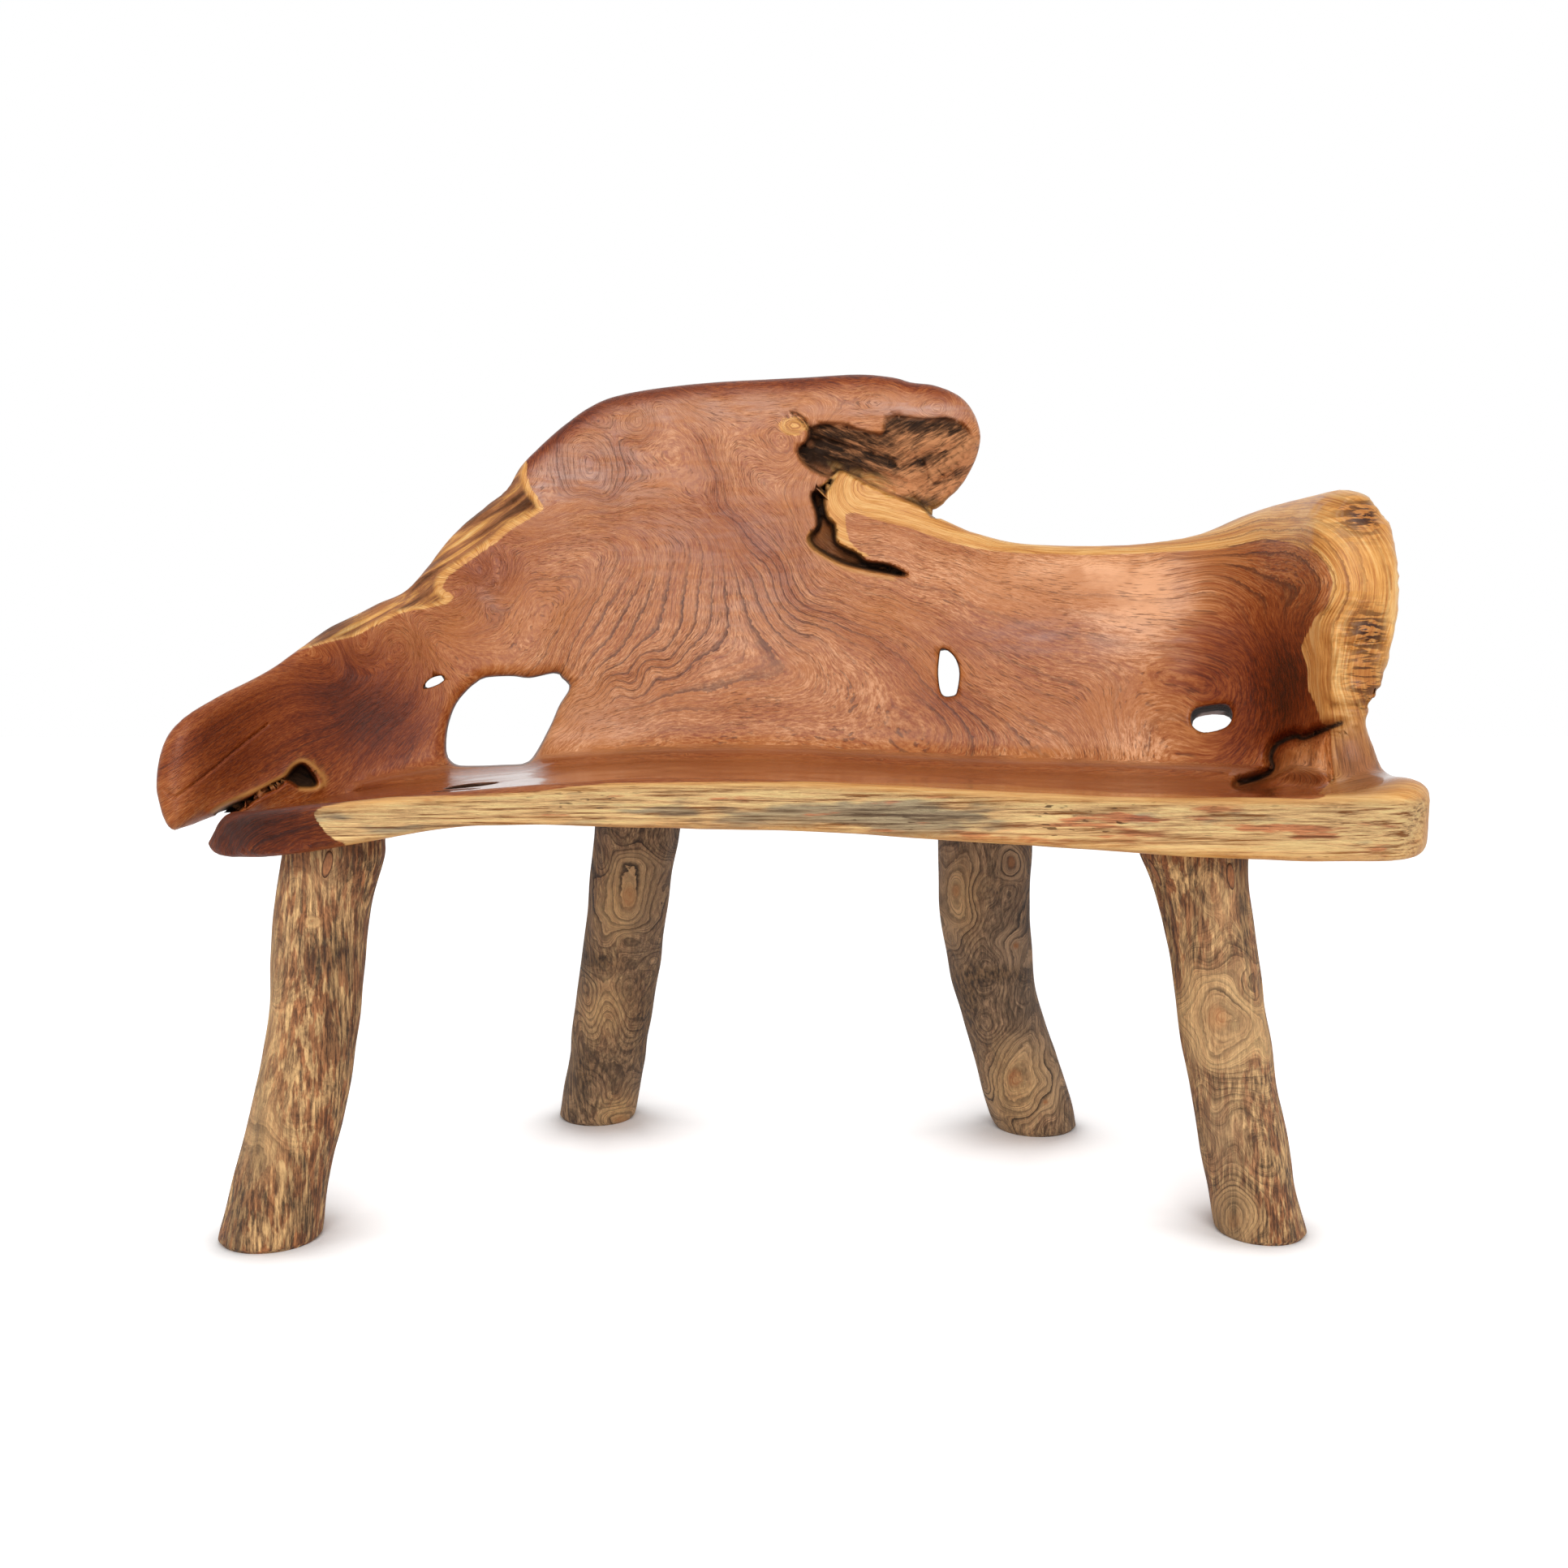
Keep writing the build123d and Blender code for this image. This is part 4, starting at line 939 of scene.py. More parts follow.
    # Painted highlight: a golden line along the rims of the arm's arch and of the crevice
    rim_highlight = bell(np.minimum(shell.arm_rim(cx, cy), shell.crevice_rim(cx, cy)), 2.8) * (1 - rear) * (y < 260)
    face = smooth_step(20, 4, y - shell.front(x)) * smooth_step(2, -8, z - shell.top(x)) * on_seat
    endgrain = smooth_step(480, 540, x) * patches(cx, cy, RAW_PATCHES) * (1 - rear)
    return {"growth": growth, "sap": sap, "rot": rot, "recess_shade": recess_shade, "rim": rims, "tone": tone, "face": face,
            "raw": np.clip(endgrain, 0, 1), "rot_and_painted_light": np.clip(rot_and_painted_light, 0, 1), "painted_sheen": painted_sheen, "grey": grey,
            "flush": flush, "edge_highlight": edge_highlight, "fold": turned, "swing": shell.swing(p), "lines": lines,
            "rim_highlight": rim_highlight, "dull": dull * (x > 400),
            "seat": on_seat * (1 - recess_shade) * smooth_step(-16, -6, z - shell.top(x))
            * smooth_step(14, 44, y - shell.front(x))}


# ---------------------------------------------------------------- settings
def linear(red, green, blue):
    """A display colour (0 to 255) as the linear colour that a shader takes."""
    c = np.array([red, green, blue]) / 255.0
    return (*np.where(c <= 0.04045, c / 12.92, ((c + 0.055) / 1.055) ** 2.4).tolist(), 1.0)


def length(name, description, default, low, high):
    """A size property, kept in metres. The arguments are in mm."""
    return bpy.props.FloatProperty(name=name, description=description, default=default * MM, min=low * MM,
                                   max=high * MM, unit="LENGTH", precision=4)


def colour(name, description, *display):
    """A colour property with this display colour as its default."""
    return bpy.props.FloatVectorProperty(name=name, description=description, default=linear(*display), size=4,
                                         min=0.0, max=1.0, subtype="COLOR")


class BenchShellSizes(bpy.types.PropertyGroup):
    """Sizes of the root shell's relief."""
    spacing: length("Mesh spacing", "Distance between corners where the shell is plain", 7.0, 4, 20)
    hollow_depth: length("Hollow depth", "Depth of the rotted hollow at its lower edge", 35, 0, 40)
    crevice_depth: length("Crevice depth", "Depth of the dark crevice beside the hollow", 36, 0, 40)
    fold_depth: length("Fold depth", "How far the left edge turns back past the fold", 30, 0, 36)
    pit_depth: length("Pit depth", "Depth of the knot hole in the seat", 24, 0, 30)
    rim_pits: length("Rim pits", "Depth of the rough places on the right rim", 2.0, 0, 8)


class BenchLegSizes(bpy.types.PropertyGroup):
    """Sizes of the legs' surface and of the plug faces."""
    lumps: length("Lumps", "Height of the broad lumps on the logs", 1.8, 0, 4)
    plug_width: length("Plug half width", "Half width of a plug's oval face", 4.6, 3, 8)
    plug_height: length("Plug half height", "Half height of a plug's oval face", 13.4, 8, 20)


class BenchWoodColours(bpy.types.PropertyGroup):
    """Colours of the woods and of the screws."""
    # The heartwood shades are stops of one ramp: its darker stops also give the painted shade of the bowl at
    # the right, and its lightest stop the painted highlights
    heart_deep: colour("Deep heartwood", "Heartwood in the darkest places", 50, 19, 5)
    heart_dark: colour("Dark heartwood", "Heartwood of the arm and of the bowl at the right", 111, 42, 8)
    heart: colour("Heartwood", "Heartwood of the seat", 152, 76, 30)
    heart_pale: colour("Pale heartwood", "Heartwood of the back", 188, 119, 67)
    heart_light: colour("Light heartwood", "Heartwood in the lightest places", 238, 176, 130)
    # Colour of the painted sheen, a reflection put into the back's colour
    painted_sheen: colour("Polish haze", "Haze of old polish on the back", 194, 160, 148)
    line: colour("Growth line", "The dark line that ends each growth ring", 66, 28, 18)
    sap_dark: colour("Dark sapwood", "Sapwood between its light fibres", 172, 102, 44)
    sap: colour("Sapwood", "Sapwood of the crest, the rim and the front edge", 220, 156, 82)
    sap_light: colour("Light sapwood", "The lightest fibres of the sapwood", 245, 200, 130)
    outer: colour("Outer wood", "The log's own outside, beyond the fold", 158, 100, 60)
    bare: colour("Bare wood", "Unpolished sapwood of the front edge", 240, 190, 131)
    weathered: colour("Weathered wood", "Grey places of the front edge", 146, 132, 110)
    flush: colour("Red streaks", "Red places of the front edge", 186, 96, 60)
    # Rotted wood: the middle of a ramp whose darker and lighter copies are the hollow's painted shade and
    # highlight
    rot_and_painted_light: colour("Rotted wood", "The brown wood inside the hollow", 154, 104, 68)
    log_grey: colour("Grey log", "The two back legs", 136, 110, 86)
    log_gold: colour("Golden log", "The two front legs", 202, 154, 104)
    log_red: colour("Log chips", "Red-brown chips on the two front legs", 150, 88, 50)
    log_line: colour("Log lines", "The dark contour lines of the legs", 40, 28, 22)
    plug: colour("Plug", "The wooden plugs over the screws", 166, 108, 66)
    steel: colour("Steel", "The toe screws", 150, 150, 152)


class BenchStageLevels(bpy.types.PropertyGroup):
    """Levels of the studio."""
    ambient: bpy.props.FloatProperty(name="Ambient", description="Strength of the light from all round",
                                     default=AMBIENT, min=0.0, max=2.0)
    key: bpy.props.FloatProperty(name="Key lamp", description="Power of the large soft lamp in front",
                                 default=KEY_POWER, min=0.0, max=1000.0, subtype="POWER")
    floor: colour("Floor", "Colour of the floor", 247, 247, 247)


# ---------------------------------------------------------------- shader building
class Tree:
    """A short way of writing a node tree: each method adds a node and gives back its output."""

    def __init__(self, tree):
        self.tree = tree

    def node(self, kind, **settings):
        node = self.tree.nodes.new(kind)
        for key, value in settings.items():
            setattr(node, key, value)
        return node

    def feed(self, socket, value):
        if isinstance(value, bpy.types.NodeSocket):
            self.tree.links.new(value, socket)
        else:
            socket.default_value = value

    def math(self, operation, *values, clamp=False):
        node = self.node("ShaderNodeMath", operation=operation, use_clamp=clamp)
        for socket, value in zip(node.inputs, values):
            self.feed(socket, value)
        return node.outputs[0]

    def add(self, first, second, scale=1.0, centre=0.0):
        """first + (second - centre) * scale"""
        return self.math("ADD", first, self.math("MULTIPLY_ADD", second, scale, -centre * scale))

    def times(self, *values):
        product = values[0]
        for value in values[1:]:
            product = self.math("MULTIPLY", product, value)
        return product

    def scaled(self, vector, *by):
        node = self.node("ShaderNodeVectorMath", operation="MULTIPLY")
        self.feed(node.inputs[0], vector)
        self.feed(node.inputs[1], by)
        return node.outputs[0]

    def join(self, x, y, z):
        node = self.node("ShaderNodeCombineXYZ")
        for socket, value in zip(node.inputs, (x, y, z)):
            self.feed(socket, value)
        return node.outputs[0]

    def parts(self, vector):
        node = self.node("ShaderNodeSeparateXYZ")
        self.feed(node.inputs[0], vector)
        return node.outputs

    def attribute(self, name):
        return self.node("ShaderNodeAttribute", attribute_name=name).outputs["Fac"]

    def place(self):
        return self.node("ShaderNodeTexCoord").outputs["Object"]

    def noise(self, vector, scale=1.0, detail=2.0, roughness=0.5, distortion=0.0):
        node = self.node("ShaderNodeTexNoise")
        for key, value in (("Vector", vector), ("Scale", scale), ("Detail", detail), ("Roughness", roughness),
                           ("Distortion", distortion)):
            self.feed(node.inputs[key], value)
        return node.outputs["Fac"]

    def grain(self, vector, by, *shape):
        """Noise over a vector stretched by three factors. Its shape is detail, roughness, distortion."""
        return self.noise(self.scaled(vector, *by), 1.0, *shape)

    def ramp(self, value, low, high, start=0.0, end=1.0):
        node = self.node("ShaderNodeMapRange", interpolation_type="SMOOTHSTEP")
        for key, setting in (("Value", value), ("From Min", low), ("From Max", high), ("To Min", start),
                             ("To Max", end)):
            self.feed(node.inputs[key], setting)
        return node.outputs[0]

    def mix(self, share, first, second):
        node = self.node("ShaderNodeMix", data_type="RGBA", clamp_factor=True)
        self.feed(node.inputs[0], share)
        self.feed(node.inputs[6], first)
        self.feed(node.inputs[7], second)
        return node.outputs[2]

    def colours(self, value, stops):
        node = self.node("ShaderNodeValToRGB")
        ramp = node.color_ramp
        while len(ramp.elements) < len(stops):
            ramp.elements.new(0.5)
        for element, (position, shade) in zip(ramp.elements, stops):
            element.position, element.color = position, shade
        self.feed(node.inputs[0], value)
        return node.outputs[0]

    def shades(self, value, shade, *stops):
        """A ramp of one colour made darker or lighter: each stop is (position, factor)."""
        return self.colours(value, [(position, shifted(shade, factor)) for position, factor in stops])

    def group(self, group, **values):
        node = self.node("ShaderNodeGroup", node_tree=group)
        for key, value in values.items():
            self.feed(node.inputs[key.replace("_", " ")], value)
        return node.outputs

    def shader(self, **sockets):
        """Sets or feeds the sockets of the material's Principled shader."""
        inputs = self.tree.nodes["Principled BSDF"].inputs
        for key, value in sockets.items():
            self.feed(inputs[key.replace("_", " ")], value)

    def surface(self, shade, roughness, height, depth, specular=0.5, metallic=0.0):
        """Gives the material its colour, its shine and a bump of this depth, in metres."""
        bump = self.node("ShaderNodeBump")
        bump.inputs["Distance"].default_value = depth
        self.feed(bump.inputs["Height"], height)
        self.shader(Base_Color=shade, Roughness=roughness, Normal=bump.outputs[0],
                    Specular_IOR_Level=specular, Metallic=metallic)


def shifted(shade, factor):
    """A colour made darker (factor under 1) or lighter, in proportion."""
    return (*[min(1.0, part * factor) for part in shade[:3]], 1.0)


def new_group(name, inputs, outputs):
    """A shader node group with named value or vector inputs and value outputs."""
    group = bpy.data.node_groups.new(name, "ShaderNodeTree")
    for label, kind, default in inputs:
        socket = group.interface.new_socket(label, in_out="INPUT", socket_type=kind)
        if default is not None:
            socket.default_value = default
    for label in outputs:
        group.interface.new_socket(label, in_out="OUTPUT", socket_type="NodeSocketFloat")
    tree = Tree(group)
    return group, tree, tree.node("NodeGroupInput").outputs, tree.node("NodeGroupOutput").inputs


def growth_lines(t, place, count, width, solid, seed):
    """One dark line for each whole number of count, which builds up slowly and stops sharply. Each line has
    its own strength, and fades in and out along its way, but never below solid."""
    phase = t.math("FRACT", count)
    start = t.math("SUBTRACT", LINE_PEAK, width)
    rise = t.math("POWER", t.ramp(phase, start, LINE_PEAK), 1.3)
    line = t.times(rise, t.ramp(phase, LINE_PEAK, 1.0, 1.0, 0.0))
    ring = t.node("ShaderNodeTexWhiteNoise", noise_dimensions="1D")
    t.feed(ring.inputs["W"], t.math("ADD", t.math("FLOOR", count), seed))
    strength = t.ramp(ring.outputs["Value"], 0.15, 0.9, 0.12, 1.0)
    x, _, z = t.parts(t.scaled(place, 9, 9, 9))
    patch = t.ramp(t.noise(t.join(t.times(count, 0.3), x, z), 1.0, 2), 0.32, 0.62, 0.15, 1.0)
    return t.times(line, t.math("MAXIMUM", t.times(strength, patch), solid))


def growth_group():
    """Growth lines and fibre. Coarse lines fall at each Spacing of Growth and fine ones between them; their
    place wavers with noise. Fibre is noise drawn out along the lines, Pores are short dark dashes along them,
    Blotch is broad noise that follows them, and Grit is the finest."""
    name = "Wood growth"
    if name in bpy.data.node_groups:
        return bpy.data.node_groups[name]
    group, t, given, out = new_group(name, [
        ("Growth", "NodeSocketFloat", 0.0), ("Place", "NodeSocketVector", None),
        ("Spacing", "NodeSocketFloat", 1.0), ("Waver", "NodeSocketFloat", 0.5),
        ("Line Width", "NodeSocketFloat", 0.35), ("Solid", "NodeSocketFloat", 0.0)],
        ["Line", "Fibre", "Pores", "Blotch", "Grit"])
    place = given["Place"]
    waver = t.add(t.math("MULTIPLY_ADD", t.noise(place, 22, 2), 1.2, -0.6), t.noise(place, 150, 2, 0.55),
                  0.9, 0.5)
    waver = t.times(waver, given["Waver"])
    level = t.math("DIVIDE", given["Growth"], given["Spacing"])
    coarse = growth_lines(t, place, t.math("ADD", level, waver), given["Line Width"], given["Solid"], 0.0)
    fine = growth_lines(t, place, t.add(t.times(level, 4.3), waver, 1.6), given["Line Width"],
                        t.times(given["Solid"], 0.7), 71.0)
    t.feed(out["Line"], t.math("MAXIMUM", coarse, t.times(fine, 0.62)))

    def along(scale, stretch, *shape):
        """Noise that follows the growth lines: its first axis is the growth, times stretch."""
        x, y, z = t.parts(t.scaled(place, scale, scale, scale))
        return t.noise(t.join(t.times(given["Growth"], stretch), t.math("ADD", x, y), z), 1.0, *shape)

    t.feed(out["Fibre"], t.ramp(along(22, 6.0, 5, 0.7), 0.28, 0.72))
    t.feed(out["Pores"], t.times(t.ramp(along(80, 8.0, 2), 0.56, 0.68),
                                 t.ramp(t.noise(place, 14, 2), 0.36, 0.54)))
    t.feed(out["Grit"], t.ramp(along(100, 9.0, 4, 0.75), 0.32, 0.68))
    t.feed(out["Blotch"], t.ramp(along(8, 0.6, 4, 0.6), 0.28, 0.72))
    return group


def new_material(name):
    material = bpy.data.materials.new(name)
    material.use_nodes = True
    return material, Tree(material.node_tree)


def heartwood(t, c, growth, place):
    """Colour of the heartwood: five shades by tone, which holds painted highlight and painted shade as well
    as the wood's own tone, with growth lines, pores and painted sheen over them.
    """
    strength = t.attribute("lines")
    line, fibre, pores, blotch, grit = t.group(growth_group(), Growth=growth, Place=place, Spacing=1.5,
                                               Waver=0.42, Line_Width=0.34,
                                               Solid=t.ramp(strength, 0.45, 1.0, 0.0, 0.8))
    line = t.times(line, strength)
    tone = t.add(t.add(t.add(t.attribute("tone"), blotch, 0.16, 0.5), fibre, 0.10, 0.5), grit, 0.34, 0.5)
    wood = t.colours(tone, [(0.0, c.heart_deep), (0.26, c.heart_dark), (0.5, c.heart), (0.74, c.heart_pale),
                            (1.0, c.heart_light)])
    golden = t.ramp(t.grain(place, (8, 8, 13), 4, 0.62), 0.45, 0.64, 0.0, 0.6)
    wood = t.mix(t.times(golden, t.ramp(t.attribute("tone"), 0.45, 0.7)), wood, shifted(c.sap_dark, 1.15))
    # Painted sheen, in streaks, mixed over the heartwood where it would reflect the light
    sheen_streaks = t.ramp(t.grain(place, (20, 20, 90), 3, 0.6), 0.3, 0.7, 0.2, 1.0)
    wood = t.mix(t.times(t.attribute("painted_sheen"), sheen_streaks, 0.85), wood, c.painted_sheen)
    wood = t.mix(t.times(line, 0.9), wood, c.line)
    wood = t.mix(t.times(pores, 0.55), wood, c.line)
    return wood, line, fibre, pores, blotch


def root_material(c):
    """Varnished heartwood and sapwood with growth lines, a bare front edge, the log's streaked outside past
    the fold, and dull dark wood where it has rotted. Painted shade darkens the hollow's low places and the
    recesses, painted highlight lightens the hollow's ridges, two rims and the top of the front edge, and
    painted sheen lies over the back."""
    material, t = new_material("Root wood")
    place = t.place()
    wood, line, fibre, pores, blotch = heartwood(t, c, t.attribute("growth"), place)

    streak = t.ramp(t.grain(place, (10, 110, 330), 4, 0.7), 0.33, 0.67)
    patch = t.grain(place, (9, 14, 40), 3, 0.6)
    sap = t.colours(t.add(t.times(fibre, 0.6), blotch, 0.4),
                    [(0.1, c.sap_dark), (0.5, c.sap), (0.9, c.sap_light)])
    sap = t.mix(t.times(line, 0.8), sap, shifted(c.sap_dark, 0.5))
    sap = t.mix(t.times(t.attribute("seat"), 0.5), sap, c.sap_dark)
    face = t.attribute("face")
    bare = t.colours(streak, [(0.06, shifted(c.sap_dark, 0.62)), (0.28, shifted(c.bare, 0.66)),
                              (0.50, c.bare), (0.85, shifted(c.bare, 1.38))])
    grey = t.times(t.ramp(t.add(patch, t.attribute("grey"), 0.32), 0.60, 0.74), 0.8)
    bare = t.mix(grey, bare, t.shades(streak, c.weathered, (0.2, 0.35), (0.75, 1.25)))
    red = t.times(t.ramp(t.add(t.grain(place, (13, 20, 90), 3, 0.6), t.attribute("flush"), 0.26),
                         0.60, 0.70), 0.75)
    bare = t.mix(red, bare, t.shades(streak, c.flush, (0.2, 0.4), (0.75, 1.5)))
    fleck = t.times(t.ramp(t.grain(place, (60, 200, 330), 2, 0.5), 0.62, 0.68),
                    t.ramp(t.grain(place, (7, 9, 16), 2, 0.5), 0.5, 0.62))
    bare = t.mix(t.times(fleck, 0.85), bare, shifted(c.heart_deep, 1.2))
    # Painted highlight: light sapwood mixed in along the ridge at the top of the front edge
    edge_highlight = t.times(t.attribute("edge_highlight"), t.ramp(t.grain(place, (14, 60, 60), 3, 0.6), 0.35, 0.6))
    sap = t.mix(face, sap, bare)
    sap = t.mix(t.times(edge_highlight, 0.2), sap, c.sap_light)
    crack = t.ramp(t.grain(place, (45, 45, 260), 3, 0.6, 0.4), 0.45, 0.52)
    raw = t.attribute("raw")
    sap = t.mix(t.times(raw, 0.65), sap, shifted(c.sap_dark, 0.9))
    sap = t.mix(t.times(raw, crack), sap, c.heart_deep)

    turned = t.attribute("fold")
    x, y, z = t.parts(place)
    along = t.add(t.times(x, 0.80), z, 0.60)
    across = t.add(t.times(z, 0.80), x, -0.60)
    flute = t.noise(t.join(t.times(across, 105.0), t.times(along, 11.0), t.times(y, 9.0)), 1.0, 4, 0.66, 0.6)
    outside = t.colours(flute, [(0.28, shifted(c.outer, 0.25)), (0.41, shifted(c.outer, 0.72)),
                                (0.50, shifted(c.outer, 1.15)), (0.60, c.sap), (0.74, c.sap_light)])
    outer = t.ramp(turned, 2.0, 9.0)
    sap = t.mix(outer, sap, outside)
    sap = t.mix(t.attribute("dull"), sap, t.shades(fibre, c.outer, (0.2, 0.5), (0.8, 1.1)))

    edge = t.add(t.attribute("sap"), fibre, 2.4, 0.5)
    wood = t.mix(t.ramp(edge, -0.9, 0.9), wood, sap)
    # Painted light in the hollow: its colour runs from painted shade in the crust's low places to painted
    # highlight on its high places, following the bump
    falling, rising = (
        t.noise(t.join(t.times(t.add(t.times(x, run), z, climb), 34.0), t.times(y, 60.0),
                       t.times(t.add(t.times(z, run), x, -climb), 230.0)), 1.0, 5, 0.72, 0.5)
        for run, climb in HOLLOW_FIBRES)
    crust = t.add(falling, t.times(t.attribute("swing"), t.math("SUBTRACT", rising, falling)))
    rot_and_painted_light = t.shades(t.add(t.attribute("rot_and_painted_light"), crust, 2.6, 0.5), c.rot_and_painted_light,
                      (0.08, 0.09), (0.32, 0.30), (0.56, 1.0), (0.88, 2.2))
    wood = t.mix(t.attribute("rot"), wood, rot_and_painted_light)
    # Painted shade in the recesses: near black, made from the rotted wood's colour
    wood = t.mix(t.attribute("recess_shade"), wood, t.shades(crust, c.rot_and_painted_light, (0.36, 0.04), (0.62, 0.25)))
    wood = t.mix(t.times(t.ramp(t.attribute("rim"), 2.0, 0.4), 0.7), wood, shifted(c.heart_deep, 0.9))
    # Painted highlight along the rims of the arm's arch and of the crevice
    wood = t.mix(t.times(t.attribute("rim_highlight"), 0.75), wood, shifted(c.sap, 0.8))

    rough = t.math("MAXIMUM", t.math("MAXIMUM", t.times(t.attribute("rot"), 0.35), t.attribute("recess_shade")),
                   t.math("MAXIMUM", t.times(face, 0.8), t.times(outer, 0.4)))
    roughness = t.add(t.add(t.math("MULTIPLY_ADD", rough, 0.26, 0.31), fibre, 0.08),
                      t.attribute("seat"), -0.16)
    t.shader(Coat_Weight=t.times(t.attribute("seat"), 0.7), Coat_Roughness=0.10)
    height = t.math("SUBTRACT", t.times(fibre, t.math("MULTIPLY_ADD", rough, 0.9, 0.08)),
                    t.times(pores, 0.10))
    height = t.math("ADD", height, t.times(crust, t.attribute("rot"), 1.6))
    height = t.math("ADD", height, t.times(flute, outer, 2.2))
    t.surface(wood, roughness, height, 0.0016, specular=0.24)
    return material


def log_material(c):
    """Log wood cut through its growth layers: fine wavering contour lines over grey-brown or golden wood,
    with calm wood round the knots, red-brown chips, and dark fibre where bark has been scraped off."""
    material, t = new_material("Log wood")
    place = t.place()
    line, fibre, _, blotch, grit = t.group(growth_group(), Growth=t.attribute("growth"), Place=place,
                                           Spacing=1.0, Waver=0.55, Line_Width=0.60, Solid=0.6)
    calm = t.attribute("calm")
    busy = t.times(t.math("MULTIPLY_ADD", calm, -0.8, 1.0),
                   t.math("MULTIPLY_ADD", t.attribute("warm"), 0.45, 0.55))
    strand = t.ramp(t.grain(place, (300, 300, 30), 4, 0.68), 0.30, 0.70)
    value = t.add(t.add(t.add(0.5, t.times(busy, t.math("SUBTRACT", strand, 0.5)), 0.85), blotch, 0.26, 0.5),
                  grit, 0.24, 0.5)
    value = t.add(value, calm, 0.24)
    grey = t.shades(value, c.log_grey, (0.12, 0.20), (0.5, 1.0), (0.88, 2.3))
    gold = t.shades(value, c.log_gold, (0.12, 0.20), (0.5, 1.0), (0.88, 1.9))
    chips = t.times(t.ramp(t.grain(place, (120, 120, 30), 3, 0.6), 0.46, 0.54), busy)
    gold = t.mix(t.times(chips, 0.85), gold, t.shades(value, c.log_red, (0.2, 0.4), (0.8, 1.6)))
    wood = t.mix(t.attribute("warm"), grey, gold)
    wood = t.mix(t.times(line, t.math("MULTIPLY_ADD", t.attribute("ringed"), 0.75, 0.2)), wood, c.log_line)
    core = t.mix(t.attribute("warm"), shifted(c.plug, 0.8), shifted(c.log_gold, 1.25))
    wood = t.mix(t.attribute("knot"), wood, t.mix(t.ramp(fibre, 0.2, 0.8), core, shifted(c.plug, 1.2)))
    wood = t.mix(t.attribute("dark"), wood,
                 t.colours(strand, [(0.25, shifted(c.log_line, 0.9)), (0.7, shifted(c.log_gold, 0.42))]))
    height = t.add(t.times(strand, 0.8), line, -0.3)
    t.surface(wood, t.math("MULTIPLY_ADD", strand, 0.2, 0.5), height, 0.0024, specular=0.35)
    return material


def plug_material(c):
    """Reddish plug wood, end grain, darker towards its glue line."""
    material, t = new_material("Plug wood")
    strand = t.noise(t.scaled(t.place(), 500, 500, 160), 1.0, 3, 0.6)
    wood = t.shades(strand, c.plug, (0.3, 0.55), (0.55, 1.0), (0.8, 1.5))
    wood = t.mix(t.attribute("edge"), wood, shifted(c.plug, 0.10))
    t.surface(wood, t.math("MULTIPLY_ADD", strand, 0.15, 0.42), strand, 0.0005, specular=0.35)
    return material


def steel_material(c):
    """Plain turned steel with faint turning marks."""
    material, t = new_material("Screw steel")
    mark = t.noise(t.scaled(t.place(), 300, 300, 2500), 1.0, 2)
    shade = t.shades(mark, c.steel, (0.3, 0.6), (0.7, 1.2))
    t.surface(shade, t.math("MULTIPLY_ADD", mark, 0.1, 0.3), mark, 0.0001, metallic=1.0)
    return material


